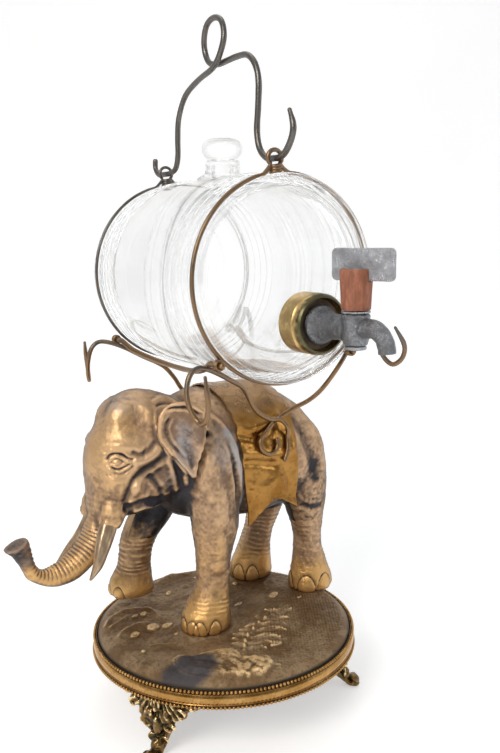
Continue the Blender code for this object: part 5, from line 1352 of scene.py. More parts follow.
def build_disc():
    base = chosen("base")
    radius = base.radius / THOUSANDTH
    inner = radius - DISC_LIP
    reach = np.concatenate([np.linspace(0.4, inner, 165), inner + np.array((0.9, 1.8, 2.6, 3.3, 3.9, 4.2))])
    flat = np.stack(around(reach[:, None], DISC_SIDES), -1).reshape(-1, 2)
    rise, shine = ground_relief(flat)
    for x, y in soles():
        away = np.hypot(flat[:, 0] - x, flat[:, 1] - y)
        rise *= ease((away - 11.5) / 3.5)
        rise -= 0.15 * (away < 12)
    across = np.hypot(*flat.T)
    rise = rise * (1 - ease((across - radius + 6) / 5))
    swell = base.rise / THOUSANDTH * (1 - held((across - (radius - 5.5)) / 5.5) ** 2.2)
    height = base.top / THOUSANDTH + swell + np.clip(rise, -1.4, 3.6)
    rings = list(np.column_stack([flat, height]).reshape(len(reach), DISC_SIDES, 3))
    for low, at in ((radius, LIP_LOW), (inner, LIP_LOW), (inner, PLATE_LOW), (0.4, PLATE_LOW)):
        rings.append(np.column_stack([*around(low, DISC_SIDES), np.full(DISC_SIDES, at)]))
    disc = shaped("relief_disc", ring_skin(rings), 60)
    clay = Clay(disc.data)
    small = clay.relief(5)
    rim = ease((np.hypot(*clay.points[:, :2].T) - radius + 0.7) / 0.5)
    violet = 1.3 * np.exp(-(np.hypot((flat[:, 0] + 41) / 14, (flat[:, 1] + 39) / 9.5) ** 3))
    violet += 0.30 * ease((flat[:, 0] - 28) / 20) * ease((20 - flat[:, 1]) / 25)
    # warm carries the relief's shine as painted highlight, the second layer its violet stain
    warm, bloom_stain_and_reflection = (np.pad(held(values), (0, len(clay.points) - len(flat))) for values in (shine, violet))
    # Lighter as rubbed metal with painted highlight where the relief stands up, near black in its hollows and at the
    # disc's outer edge
    clay.paint(wear_and_highlight=held(0.30 + 1.2 * small), recess=held(-2.0 * small - 0.1) + rim, warm=warm, bloom_stain_and_reflection=bloom_stain_and_reflection)
    dress(disc, Matrix.Translation(BASE_PLACE), ground_bronze(), "stand", "dark_bronze", "base_disc")


RING_SIDES = 256
# Mouldings above and below the ring's round: how far in from its radius and down from its top
RING_ABOVE = ((2.0, 0.5), (1.9, 1.3), (1.3, 1.6), (0.9, 2.0))
RING_BELOW = ((0.8, 6.8), (1.4, 7.1), (1.5, 8.2), (1.6, 8.7))
# Darkening in the grooves, by row of the ring's profile
RING_DARKENED = {0: 0.6, 1: 0.8, 2: 1.0, 3: 1.0, 4: 0.8, 15: 0.5, 16: 1.0, 17: 1.0, 18: 0.8}
BEAD_RADIUS = 0.78


def build_ring():
    base = chosen("base")
    outer, top = base.ring / THOUSANDTH, base.top / THOUSANDTH
    inner = base.radius / THOUSANDTH + 0.3
    step = inner - 10.9
    profile = [(inner, top - 0.9), (inner + 0.3, top - 0.5)]
    profile += [(outer - inset, top - drop) for inset, drop in RING_ABOVE]
    profile += [(outer - 1.1 + 0.6 * math.sin(math.pi * i / 8), top - 2.1 - 4.4 * i / 8) for i in range(9)]
    profile += [(outer - inset, top - drop) for inset, drop in RING_BELOW]
    profile += [(inner + 0.3, top - 8.8), (inner, top - 8.4), (inner, 32.5), (step, 32.5), (step, 34.7), (inner, 34.7)]
    skins = [turned_skin(profile, RING_SIDES, closed=True)]
    rise = np.radians((-88, -50, -12, 25, 60, 88))
    ball = turned_skin(np.stack([np.cos(rise), np.sin(rise)], -1) * BEAD_RADIUS, 10)
    for row, (radius, height) in enumerate(((outer - 1.2, top - 0.55), (outer - 0.65, top - 7.7))):
        for i in range(base.beads):
            turn = math.tau * (i + 0.5 * row) / base.beads
            skins.append(moved(ball, (radius * math.cos(turn), radius * math.sin(turn), height)))
    skin = joined(skins)
    depth = np.zeros(len(skin[0]))
    for row, value in RING_DARKENED.items():
        depth[row * RING_SIDES : (row + 1) * RING_SIDES] = value
    details = (Matrix.Translation(BASE_PLACE), gilt_brass(), "stand", "gilt_brass", "beaded_ring")
    paint(piece("gilt_ring", skin, 50, *details), "recess", depth)


# Leaves of a foot, each with its mirror image: x outwards, y sideways, z, three radii, lean in degrees
FOOT_LOBES = (
    (1.5, 0, 25.5, 4.4, 5, 8, 0), (2.5, 7, 26, 3.6, 4.4, 7.4, -28), (1.5, 13, 28, 3.2, 4.2, 5, -48),
    (0.5, 18, 29.4, 2.6, 3.8, 3, -60), (4.6, 4.2, 20.4, 2.4, 3, 5, -24), (4, 8.2, 20.6, 2, 2.6, 3.6, -38),
    (5.2, 0, 26, 2.4, 2.6, 4.6, 0), (4.6, 0, 15.5, 2.8, 3, 5, 0), (3.4, 4.4, 13.4, 1.8, 2, 3, -20),
    (3, 0, 9.6, 2.6, 3.2, 4.4, 0), (6, 0, 5.4, 2.6, 3.4, 4.2, 0), (10.2, 0, 2.6, 3.4, 4.2, 2.5, 0),
    (10.6, 3.4, 2.2, 2.6, 2, 2, 0),
)
# Rows of petals round the head: turns in degrees, then distance and size of each row
FOOT_PETAL_TURNS = (-64, -42, -21, 0, 21, 42, 64)
FOOT_PETAL_ROWS = ((9.0, 1.9), (12.6, 1.7), (15.8, 1.4))
# Volutes, each with its mirror image: y, z, size, way round, radius of the roll
FOOT_SCROLLS = ((6.0, 15.6, 2.9, 1, 0.85), (12.6, 23.6, 2.7, -1, 0.8), (3.6, 8.4, 2.0, -1, 0.7))
# Core of a foot from its head to its toe: x, z, half depth, half width
FOOT_CORE = (
    (0, 32.1, 4.8, 21), (0, 30.6, 4.9, 21.6), (0.4, 27.6, 4.6, 18), (1.4, 22.6, 4, 12), (1.2, 16, 3.2, 7.2),
    (1, 10, 2.8, 4.4), (3.4, 5.6, 2.6, 3.6), (7, 2.9, 2.8, 3.6), (10, 0.6, 3.4, 4.6),
)
FOOT_GRAIN = 0.00042
FOOT_TOP = 32.2


def lobe_skin(x, y, z, rx, ry, rz, lean):
    rise = np.radians((-86, -60, -35, -10, 15, 40, 64, 86))
    points, faces = turned_skin(np.stack([np.cos(rise), np.sin(rise)], -1), 14)
    across, wide, tall = (points * (rx, ry, rz)).T
    c, s = math.cos(math.radians(lean)), math.sin(math.radians(lean))
    return np.stack([across, wide * c - tall * s, wide * s + tall * c], -1) + (x, y, z), faces


def scroll_skin(y, z, size, hand, roll):
    """Volute in the plane of the foot's face."""
    angle = np.linspace(0, 1.4 * math.tau, 30)
    radius = size * (1 - 0.72 * angle / angle[-1])
    path = np.stack([np.full(30, 5.0), y + hand * radius * np.cos(angle), z + radius * np.sin(angle)], -1)
    return tube_skin(path, roll, 10)


def foot_skins():
    """One cast foot: acanthus head with volutes, a narrow waist and a clawed toe. Outwards is +X."""
    skins = []
    for x, y, z, rx, ry, rz, lean in FOOT_LOBES:
        for hand in (1, -1) if y else (1,):
            skins.append(lobe_skin(x, hand * y, z, rx, ry, rz, hand * lean))
    for lean in FOOT_PETAL_TURNS:
        a = math.radians(lean)
        for step, size in FOOT_PETAL_ROWS:
            y, z = step * 1.25 * math.sin(a), 33.5 - step * math.cos(a) * 0.95
            if z < 31.4 and abs(y) < 20:
                skins.append(lobe_skin(4.4 - 0.10 * step, y, z, size, size * 0.75, size * 1.7, -lean))
    for hand in (1, -1):
        skins += [scroll_skin(hand * y, z, size, hand * way, roll) for y, z, size, way, roll in FOOT_SCROLLS]
    x, z, depth, width = smooth_rows(FOOT_CORE, 4).T
    skins.append(oval_skin(np.stack([x, 0 * x, z], -1), (1, 0, 0), depth, width, 28))
    return skins


def build_feet():
    material = foot_brass()
    for number in (1, 2, 3):
        foot = fused(f"foot_casting_{number}", foot_skins(), FOOT_GRAIN)
        clay = Clay(foot.data)
        clay.relax(2)
        x, y, z = clay.points.T
        flutes = np.cos(math.tau * (np.degrees(np.arctan2(y, 36.0 - z)) / 10.5))
        flutes = flutes * ease((z - 17) / 3) * ease((31.2 - z) / 1.5)
        crust = 0.55 * lattice_noise(clay.points, 2.4, 43) * ease((z - 8) / 4)
        clay.push(0.30 * flutes * (x > 0) + crust + 0.22 * lattice_noise(clay.points, 1.3, 41))
        clay.points[:, 2] = np.clip(clay.points[:, 2], 0, FOOT_TOP)
        clay.feel()
        small, wide = clay.relief(4), clay.relief(26)
        # Raised leaves take the painted highlight, and the hollows between them are darkened
        clay.paint(wear_and_highlight=held(0.5 + 1.7 * small + 0.35 * wide), recess=held(-1.5 * small - 0.85 * wide + 0.30))
        middle = middle_of(f"foot_screw_{number}")
        out = middle - BASE_PLACE
        place = Matrix.Translation((middle.x, middle.y, 0)) @ Matrix.Rotation(math.atan2(out.y, out.x), 4, "Z")
        dress(foot, place, material, "stand", "gilt_brass", f"base_foot_{number}")


class DISPENSER_OT_disc(Step, bpy.types.Operator):
    """Domed disc cast as ground, with a leafy mound, a fern and pebbles"""

    bl_idname = "dispenser.disc"
    bl_label = "Relief disc"
    builders = (build_disc,)


class DISPENSER_OT_ring(Step, bpy.types.Operator):
    """Gilt ring with two rows of beads"""

    bl_idname = "dispenser.ring"
    bl_label = "Gilt ring"
    builders = (build_ring,)


class DISPENSER_OT_feet(Step, bpy.types.Operator):
    """Three cast feet with acanthus heads and volutes"""

    bl_idname = "dispenser.feet"
    bl_label = "Feet"
    builders = (build_feet,)


# The barrel. Its profiles are radius and place along the axis.

RIB_PLACES = (30, 35.5, 41, 46.5)
RIB_RISE, RIB_HALF = 1.0, 1.75
GROOVE_AT, GROOVE_DROP = 53.5, 2.6
# Rim past the groove: place along the axis and radius
RIM = (
    (52.4, 46.6), (53.2, 46.35), (54.4, 46.35), (55.2, 46.7), (56, 47.3), (57.2, 47.6), (58.2, 47.2), (58.9, 46.2),
    (59.2, 45.3), (59.7, 44.9), (60.3, 44.8), (60.8, 44.2), (61, 43.2), (61.1, 42), (61.5, 41.3), (62.1, 40.9),
    (62.5, 40.2), (62.6, 39), (62.4, 37.6), (62.1, 36.9), (62, 36.2), (62.2, 34), (62.45, 26), (62.6, 14),
    (62.6, 0.05),
)
# Neck: radius and height over the belly
NECK = (
    (0.05, -2), (12.6, -2), (12.8, -0.6), (11.4, 0.5), (9.6, 1.3), (8.9, 2.2), (8.7, 3.4), (8.7, 4.6), (8.4, 5),
    (0.05, 5),
)
# Hollow: drop from the inner radius and place along the axis, up to the flat end
HOLLOW = ((0, 0), (0, 15), (0.6, 30), (2.6, GROOVE_AT), (5, 55.8), (9, 57.2))
HOLLOW_END = ((30, 57.4), (0.05, 57.4))
STOPPER_PROFILE = (
    (0.05, -12), (4, -12), (4.5, -11.5), (5, 0), (5.2, 0.1), (8.2, 0), (8.7, 0.4), (8.7, 2), (8.2, 2.6), (6.4, 2.7),
    (6, 3), (7.4, 3.6), (9.2, 5), (10.1, 7), (10.2, 8.6), (9.6, 10.6), (8, 12.3), (5.6, 13.2), (2.8, 13.5),
    (0.05, 13.5),
)
# Height of the stopper's seat over the belly, in metres
STOPPER_SEAT = 0.0053


def barrel_place():
    return BASE_PLACE + Vector(chosen("barrel").place)


def rod(radius, low, high, sides=40):
    """A plain cylinder about Z."""
    return turned_skin(((0.05, low), (radius, low), (radius, high), (0.05, high)), sides)


def mirrored(half):
    """Both ends of a profile, from one axis point to the other."""
    return np.concatenate([half[::-1] * (1, -1), half[1:]])


def barrel_profile():
    """Outer radius and place from the middle to one end, ribbed towards the end."""
    at = np.linspace(0, 52.0, 150)
    radius = chosen("barrel").belly / THOUSANDTH - GROOVE_DROP * (at / GROOVE_AT) ** 2
    for rib in RIB_PLACES:
        radius += RIB_RISE * dome(((at - rib) / RIB_HALF) ** 2, 0.8)
    return np.concatenate([np.stack([radius, at], -1), smooth_rows(RIM, 3)[:, ::-1]])


def build_barrel():
    barrel = chosen("barrel")
    top = barrel.belly / THOUSANDTH
    inside = top - barrel.wall / THOUSANDTH
    glass = shaped("barrel_glass", along_y(turned_skin(mirrored(barrel_profile()), 160)))
    carved(glass, turned_skin([(radius, top + rise) for radius, rise in NECK], 48), "UNION")
    half = smooth_rows([(inside - drop, at) for drop, at in HOLLOW] + list(HOLLOW_END), 4)
    carved(glass, along_y(turned_skin(mirrored(half), 96)))
    carved(glass, turned_skin(((0.05, 41.8), (5, 41.8), (5.6, top + 5), (5.7, top + 9), (0.05, top + 9)), 40))
    tap = KEY_PLACE - barrel_place()
    carved(glass, moved(along_y(rod(8.5, 52.2, 66)), (tap.x / THOUSANDTH, 0, tap.z / THOUSANDTH)))
    smoothed(glass.data, 38)
    dress(glass, Matrix.Translation(barrel_place()), clear_glass(), "stand", "clear_glass", "glass_barrel")


def build_stopper():
    place = barrel_place() + Vector((0, 0, chosen("barrel").belly + STOPPER_SEAT))
    details = (Matrix.Translation(place), clear_glass(), "stopper", "clear_glass", "glass_stopper")
    piece("stopper_glass", turned_skin(smooth_rows(STOPPER_PROFILE, 3), 56), 40, *details)


class DISPENSER_OT_barrel(Step, bpy.types.Operator):
    """Ribbed glass barrel with its filling neck"""

    bl_idname = "dispenser.barrel"
    bl_label = "Glass barrel"
    builders = (build_barrel,)


class DISPENSER_OT_stopper(Step, bpy.types.Operator):
    """Glass stopper with a round knob"""

    bl_idname = "dispenser.stopper"
    bl_label = "Stopper"
    builders = (build_stopper,)


# The wires. Lengths are in metres, and tables are in shares of them.

GAP = 0.0003
HOOP_RADIUS = 0.0478
HOOP_STEM = math.radians(8)
EYE_REACH = 0.05392
EYE_SIZE = 0.0037
EYE_TURN = math.radians(5)
RAIL_RADIUS = 0.0513
RAIL_TURN = math.radians(46)
RAIL_SAG = math.radians(14)
RAIL_BOW = 0.0016
RAIL_END = 0.0587
BARREL_HOOP_AT = 0.0535
# Windings of wire: length, and thickness of their wire at the hoops' eyes and on the rails
WRAP_LENGTH, EYE_WRAP, RAIL_WRAP = 0.0030, 0.0008, 0.0006
HOOK_SIZE = 0.0200
HANDLE_RISE = 0.0693
CLOTH_SURFACE = 0.0019
# Struts: shares of the way from the saddle to the rail
HEAD_STRUT = ((0.16, 0.13, 0.06), (0.34, 0.24, 0.22), (0.45, 0.30, 0.46), (0.56, 0.46, 0.65), (0.77, 0.77, 0.82))
TAIL_STRUT = ((0.36, 0.03, 0.12), (0.64, 0.13, 0.21), (0.86, 0.24, 0.34), (1.04, 0.38, 0.54), (1.10, 0.64, 0.78))
# Where the struts lie on the saddle, in thousandths of a metre: x, z and whether they cross another wire
HEAD_STRUT_FOOT = ((13.6, 82, 0), (15.6, 87, 0), (16.6, 93, 0), (16, 98.5, 1), (13, 102.4, 1))
TAIL_STRUT_FOOT = ((6.6, 99, 0), (13, 102.4, 0))
# Eye at the rear struts' feet: x, z, radius, and its turns in degrees
TAIL_EYE = (4.6, 91.5, 5.2)
TAIL_EYE_TURNS = (15, -20, -60, -100, -140, -180, -215)
# Hooks: outwards, sideways and up, in shares of HOOK_SIZE
HEAD_HOOK = (
    (0.46, 0.20, 0.14), (0.72, 0.25, 0.00), (0.83, 0.30, -0.36), (0.81, 0.42, -0.70), (0.72, 0.60, -0.96),
    (0.65, 0.80, -0.90), (0.64, 0.90, -0.56), (0.67, 0.90, -0.22), (0.69, 0.88, 0.06),
)
TAIL_HOOK = (
    (0.20, 0.12, 0.36), (0.38, 0.25, 0.60), (0.57, 0.35, 0.36), (0.64, 0.43, 0.00), (0.74, 0.53, -0.26),
    (0.87, 0.68, -0.38), (0.98, 0.87, -0.20), (0.98, 0.93, 0.12), (0.72, 0.88, 0.56),
)
# Handle: along the barrel in shares of BARREL_HOOP_AT, up in shares of HANDLE_RISE, and aside where it crosses itself
HANDLE = (
    (1.235, 0.115, 0), (1.235, 0.055, 0), (1.160, 0.004, 0), (1.060, 0.000, 0), (1.000, 0.000, 0),
    (0.900, 0.002, 0), (0.780, 0.030, 0), (0.722, 0.120, 0), (0.715, 0.250, 0), (0.680, 0.400, 0),
    (0.530, 0.545, 0), (0.240, 0.620, -0.5), (-0.045, 0.660, -1), (-0.172, 0.720, -1), (-0.247, 0.840, -0.6),
    (-0.190, 0.955, -0.2), (-0.050, 1.000, 0), (0.095, 0.975, 0.2), (0.175, 0.890, 0.6), (0.180, 0.800, 1),
    (0.110, 0.728, 1), (-0.030, 0.697, 1), (-0.230, 0.697, 0.8), (-0.420, 0.697, 0.4), (-0.600, 0.680, 0),
    (-0.715, 0.610, 0), (-0.768, 0.500, 0), (-0.757, 0.340, 0), (-0.735, 0.190, 0), (-0.775, 0.075, 0),
    (-0.880, 0.008, 0), (-1.000, 0.000, 0), (-1.080, 0.002, 0), (-1.165, 0.035, 0), (-1.240, 0.105, 0),
    (-1.265, 0.180, 0), (-1.215, 0.275, 0),
)


def round_barrel(radius, turn, y):
    """Place at an angle from the barrel's top, towards -X where the angle is positive."""
    return np.array((-radius * math.sin(turn), y, radius * math.cos(turn)))


def rail_spot(side, y):
    """Middle of a rail: straight past the hoops, and sagging between them."""
    bow = 1 - min(abs(y) / (BARREL_HOOP_AT - 0.0052), 1) ** 2
    turn = side * (math.pi - RAIL_TURN + RAIL_SAG * bow)
    return round_barrel(RAIL_RADIUS + RAIL_BOW * min(3 * bow, 1), turn, y)


def hoop_path(y):
    """Hoop round the barrel that rises into an eye for the handle."""
    start, sweep = EYE_TURN + HOOP_STEM, math.tau - 2 * HOOP_STEM
    points = [round_barrel(HOOP_RADIUS, start + sweep * i / 72, y) for i in range(73)]
    eye = round_barrel(EYE_REACH, EYE_TURN, y)
    outward, sideways = round_barrel(1, EYE_TURN, 0), round_barrel(1, EYE_TURN + math.pi / 2, 0)
    for turn in np.radians(np.linspace(-138, 138, 13)):
        points.append(eye + (outward * math.cos(turn) + sideways * math.sin(turn)) * EYE_SIZE)
    return smooth_rows(points, 2, closed=True)


def coil_path(place, axis, radius, turns):
    """A tight winding of wire round an axis."""
    axis = unit(np.asarray(axis, float))
    side = unit(np.cross(axis, OFF_AXIS))
    angle = np.linspace(0, turns * math.tau, int(turns * 18))
    along = (angle / angle[-1] - 0.5) * WRAP_LENGTH
    ring = np.cos(angle)[:, None] * side + np.sin(angle)[:, None] * np.cross(axis, side)
    return np.asarray(place) + ring * radius + along[:, None] * axis


def on_saddle(near, x, z, away):
    """Place beside the saddle cloth. near is -1 on the tap's flank."""
    top, under, half = (float(v) for v in torso_section(x))
    rise = min(max((z - (top + under) / 2) / ((top - under) / 2), 0), 1)
    y = near * (half * math.sqrt(1 - rise**2) * THOUSANDTH + CLOTH_SURFACE + away)
    return np.array(animal_place() @ Vector((x * THOUSANDTH, y, z * THOUSANDTH)))


def strut_path(near, side):
    """Wire from the saddle up under the rail to a cup hook. near is -1 at the front, side is 1 at the head."""
    wires = chosen("wires")
    half = wires.strut / 2
    over = half + wires.strut + GAP
    if side == 1:
        foot, shares, hook, past = HEAD_STRUT_FOOT, HEAD_STRUT, HEAD_HOOK, (0, 0, -1.0)
    else:
        foot, shares, hook, past = TAIL_STRUT_FOOT, TAIL_STRUT, TAIL_HOOK, (1.0, 0, 0)
    spots = [on_saddle(near, x, z, over if crosses else half) for x, z, crosses in foot]
    if side == -1:
        x, z, size = TAIL_EYE
        ring = [math.radians(turn) for turn in TAIL_EYE_TURNS]
        spots = [on_saddle(near, x + size * math.cos(a), z + size * math.sin(a), half) for a in ring] + spots
    under_rail = rail_spot(side, near * (BARREL_HOOP_AT - 0.0026)) + np.array(barrel_place())
    under_rail = under_rail + np.array(past) * ((wires.rail + wires.strut) / 2 + 2 * GAP)
    start = spots[-1]
    spots += [start + (under_rail - start) * np.array(share) for share in shares]
    spots.append(under_rail)
    spots += [under_rail + np.array((-side * out, near * aside, up)) * HOOK_SIZE for out, aside, up in hook]
    return smooth_rows(spots, 6)


def make_wire(name, paths, brass, body, slot, node):
    """Wires with slightly uneven thickness as one piece. brass is 0 to 1 or a function of the places."""
    skins = []
    for path, radius, closed in paths:
        path = even_path(path, closed=closed)
        radius = radius * (1 + 0.05 * lattice_noise(path / THOUSANDTH, 4.0, 51))
        skins.append(tube_skin(path, radius, closed=closed))
    places, faces = joined(skins)
    wire = make_object(name, make_mesh(name, (places, faces)))
    paint(wire.data, "brass", held(brass(places) if callable(brass) else np.full(len(places), brass)))
    dress(wire, Matrix(), wire_metal(), body, slot, node)


def tapered(path, radius, share, length):
    """Radius along a wire whose last stretch is drawn thin."""
    at = np.linspace(0, 1, len(path))
    return radius * (1 - (1 - share) * ease((at - 1 + length) / length))


def build_hoops():
    thick = chosen("wires").hoop / 2
    place = np.array(barrel_place())
    for flank, y, share, brass in (("front", -BARREL_HOOP_AT, 1.0, 0.66), ("rear", BARREL_HOOP_AT, 0.8, 0.25)):
        neck = round_barrel(EYE_REACH - EYE_SIZE - 0.0009, EYE_TURN, y)
        wrap = coil_path(neck, round_barrel(1, EYE_TURN, 0), 0.0024, 2.5)
        paths = [(hoop_path(y) + place, thick * share, True), (wrap + place, EYE_WRAP, False)]
        make_wire(f"{flank}_hoop_wire", paths, brass, "stand", "steel_wire", f"{flank}_hoop")


def build_rails():
    thick = chosen("wires").rail / 2
    place = np.array(barrel_place())
    for hand, side in (("head_side", 1), ("tail_side", -1)):
        path = np.array([rail_spot(side, y) for y in np.linspace(-RAIL_END, RAIL_END, 61)]) + place
        make_wire(f"rail_wire_{hand}", [(path, thick, False)], 0.95, "stand", "brassy_wire", f"cradle_rail_{hand}")
        for flank, y in (("front", -1), ("rear", 1)):
            spot = rail_spot(side, y * (BARREL_HOOP_AT + 0.0025)) + place
            paths = [(coil_path(spot, (0, 1, 0), thick + RAIL_WRAP, 3), RAIL_WRAP, False)]
            name = f"{flank}_{hand}"
            make_wire(f"wrap_{name}", paths, 0.8, "stand", "brassy_wire", f"binding_{name}")


def build_struts():
    for near, flank in ((-1, "front"), (1, "rear")):
        for side, hand in ((1, "head_side"), (-1, "tail_side")):
            path = even_path(strut_path(near, side))
            radius = tapered(path, chosen("wires").strut / 2, 0.62, 0.05)
            middle = path[:, 2].mean() + 0.004

            def lower(places, middle=middle):
                return 0.75 - (places[:, 2] - middle) / 0.05

            name = f"{flank}_{hand}"
            make_wire(f"strut_{name}", [(path, radius, False)], lower, "stand", "steel_wire", f"hook_wire_{name}")


def build_handle():
    thick = chosen("wires").handle / 2
    rows = [(across * (thick + GAP), along * BARREL_HOOP_AT, up * HANDLE_RISE) for along, up, across in HANDLE]
    path = even_path(smooth_rows(rows, 6)) + np.array(HANDLE_PLACE)
    radius = tapered(path, thick, 0.7, 0.03)
    make_wire("handle_wire", [(path, radius, False)], 0.2, "handle", "steel_wire", "bail_handle")


class DISPENSER_OT_cradle(Step, bpy.types.Operator):
    """Wire cradle: hoops with eyes, rails with wrappings, and struts with cup hooks"""

    bl_idname = "dispenser.cradle"
    bl_label = "Wire cradle"
    builders = (build_hoops, build_rails, build_struts)


class DISPENSER_OT_handle(Step, bpy.types.Operator):
    """Bail handle of bent wire with a finger loop"""

    bl_idname = "dispenser.handle"
    bl_label = "Bail handle"
    builders = (build_handle,)


# The tap. Profiles are radius and place, along the axis from the glass or up from the plug's middle.

COLLAR_PROFILE = (
    (11.8, 0), (13.4, 0), (13.8, 0.4), (13.8, 9.8), (13.2, 10.5), (13.1, 11), (13.6, 11.6), (13.7, 13.4),
    (13.2, 14.4), (12.6, 15), (11.9, 15), (11.8, 14.6),
)
BUNG_PROFILE = ((5.1, -5.2), (8.2, -5.2), (8.2, 0), (11.5, 0), (11.5, 11), (11, 11.5), (5.1, 11.5))
TAP_PROFILE = (
    (0.05, -7.2), (4.8, -7.2), (4.8, 11.6), (8.4, 11.8), (8.8, 12.2), (8.8, 14.2), (8.3, 14.9), (7.2, 15.8),
    (6.6, 17.4), (6.2, 19.4), (5.7, 22.4), (5.4, 26), (5.6, 30), (5.9, 33), (5.3, 37), (0.05, 37),
)
HOUSING_PROFILE = (
    (0.05, -6.6), (4.6, -6.6), (5.2, -6), (5.4, -4.6), (5.9, -3.6), (6, 0), (5.9, 3.4), (5.6, 4.4), (6.1, 5),
    (6.2, 5.8), (5.8, 6.6), (0.05, 6.6),
)
HOUSING_AT = 37.0
# Spout: x, y, z, radius
SPOUT_LINE = (
    (0, -38, 0, 4.2), (0, -43.8, 1, 4.2), (0, -49.1, 1, 3.9), (0, -53.4, -1.2, 3.7), (0, -55.9, -4.5, 3.6),
    (0, -56.5, -8.2, 3.7),
)
SPOUT_BORE = 2.4
TAP_GRAIN = 0.00038
PLUG_PROFILE = (
    (0.05, -8.8), (1.4, -8.8), (1.5, -8.5), (1.5, -6.75), (3.6, -6.75), (3.6, 6.9), (5.9, 6.95), (6.2, 7.2), (6, 7.8),
    (2.6, 7.9), (2.6, 22), (0.05, 22),
)
SLEEVE_PROFILE = (
    (2.9, 8.2), (5.9, 8.2), (6.2, 8.6), (6.3, 10.4), (6.5, 15), (6.8, 20), (7, 24.2), (6.7, 25), (2.9, 25),
)
RETAINER_PROFILE = ((1.9, -8.3), (4.3, -8.3), (4.6, -8), (4.6, -7.2), (4.4, -6.9), (1.9, -6.9))
KEY_TURN = math.radians(-73)
KEY_LOW = 20.2
KEY_SIZE = (30.1, 13.4, 2)
KEY_SHIFT = 3.3
KEY_CORNER = 2.2
# Softened edges of the key: how far in, and share of its half thickness
KEY_LAYERS = ((0.5, -1.0), (0.18, -0.85), (0.0, -0.5), (0.0, 0.5), (0.18, 0.85), (0.5, 1.0))
# From the barrel's middle to its glass at the tap, and from there to the collar's dirty lip, in metres
TAP_SEAT, LIP_AT = 0.0629, 0.0110


def tap_place():
    """Where the tap's axis meets the glass."""
    return Vector((KEY_PLACE.x, barrel_place().y - TAP_SEAT, KEY_PLACE.z))


def build_tap():
    seat = Matrix.Translation(tap_place())
    collar, bung = turned_skin(COLLAR_PROFILE, 72, closed=True), turned_skin(BUNG_PROFILE, 48, closed=True)
    piece("collar_brass", along_y(collar), 32, seat, aged_brass(), "stand", "aged_brass", "tap_collar")
    piece("bung_cork", along_y(bung), 32, seat, cork(), "stand", "cork", "cork_bung")
    rows = smooth_rows(SPOUT_LINE, 6)
    housing = moved(turned_skin(HOUSING_PROFILE, 40), (0, -HOUSING_AT, 0))
    spout = ring_skin(tube_rings(rows[:, :3], rows[:, 3], 28))
    tap = fused("tap_casting", [along_y(turned_skin(TAP_PROFILE, 40)), housing, spout], TAP_GRAIN)
    clay = Clay(tap.data)
    clay.relax(8)
    clay.push(0.09 * lattice_noise(clay.points, 2.2, 61) + 0.05 * lattice_noise(clay.points, 0.9, 62))
    carved(tap, moved(rod(3.9, -13, 13), (0, -HOUSING_AT, 0)))
    outlet = np.concatenate([rows[6:, :3], rows[-1:, :3] - (0, 0, 2.0)])
    carved(tap, ring_skin(tube_rings(outlet, SPOUT_BORE, 20)))
    smoothed(tap.data, 50)
    dress(tap, seat, pewter("cast pewter", 0.72), "stand", "pewter", "tap_body")


def key_plate_skin(grow=0.0):
    """Flat key with rounded corners and softened edges, its width along X."""
    width, height, thickness = KEY_SIZE
    corner = []
    for turn, side, up in ((0, 1, 1), (90, -1, 1), (180, -1, 0), (270, 1, 0)):
        x = KEY_SHIFT + side * (width / 2 - KEY_CORNER)
        z = KEY_LOW + KEY_CORNER + up * (height - 2 * KEY_CORNER)
        angles = [math.radians(turn + 15 * i) for i in range(7)]
        corner += [(x, z, math.cos(angle), math.sin(angle)) for angle in angles]
    x, z, across, up = np.array(corner).T
    layers = []
    for inset, off in KEY_LAYERS:
        reach = KEY_CORNER + grow - inset
        thick = np.full(len(x), off * (thickness / 2 + grow))
        layers.append(np.stack([x + across * reach, thick, z + up * reach], -1))
    return ring_skin(layers)


def build_key():
    place = Matrix.Translation(KEY_PLACE) @ Matrix.Rotation(KEY_TURN, 4, "Z")
    metal = pewter("rubbed pewter", 1.3)
    key = shaped("key_pewter", turned_skin(PLUG_PROFILE, 40))
    carved(key, key_plate_skin(), "UNION")
    points, faces = rod(2.0, -8, 8, 24)
    carved(key, (points[:, (2, 1, 0)], faces))
    sleeve = shaped("sleeve_rust", turned_skin(SLEEVE_PROFILE, 64, closed=True))
    carved(sleeve, key_plate_skin(0.3))
    for thing in (key, sleeve):
        smoothed(thing.data, 35)
    dress(key, place, metal, "tap_plug", "pewter", "tap_plug_key")
    dress(sleeve, place, rust_sleeve(), "tap_plug", "rust_sleeve", "key_sleeve")
    retainer = turned_skin(RETAINER_PROFILE, 32, closed=True)
    piece("retainer_pewter", retainer, 32, place, metal, "tap_plug", "pewter", "plug_retainer")


class DISPENSER_OT_tap(Step, bpy.types.Operator):
    """Pewter tap with its spout, in a cork bung and a brass collar"""

    bl_idname = "dispenser.tap"
    bl_label = "Tap"
    builders = (build_tap,)


class DISPENSER_OT_key(Step, bpy.types.Operator):
    """Plug of the tap with its flat key, rust brown sleeve and retainer"""

    bl_idname = "dispenser.key"
    bl_label = "Tap key"
    builders = (build_key,)


# Screws, studs and nuts


def build_fixings():
    material = gilt_brass()
    for name, node in frame["nodes"].items():
        if name.startswith(("foot_screw_", "stud_", "nut_")):
            node.data.materials.clear()
            node.data.materials.append(material)


class DISPENSER_OT_fixings(Step, bpy.types.Operator):
    """Screws of the feet, studs of the legs and their nuts, in gilt brass"""

    bl_idname = "dispenser.fixings"
    bl_label = "Fixings"
    builders = (build_fixings,)


# The stage

VIEW_TURN = math.radians(-32.26)
VIEW_TILT = math.radians(10.11)
VIEW_ROLL = math.radians(-0.76)
VIEW_PLACE = Vector((-0.1973, -0.3411, 0.2375))
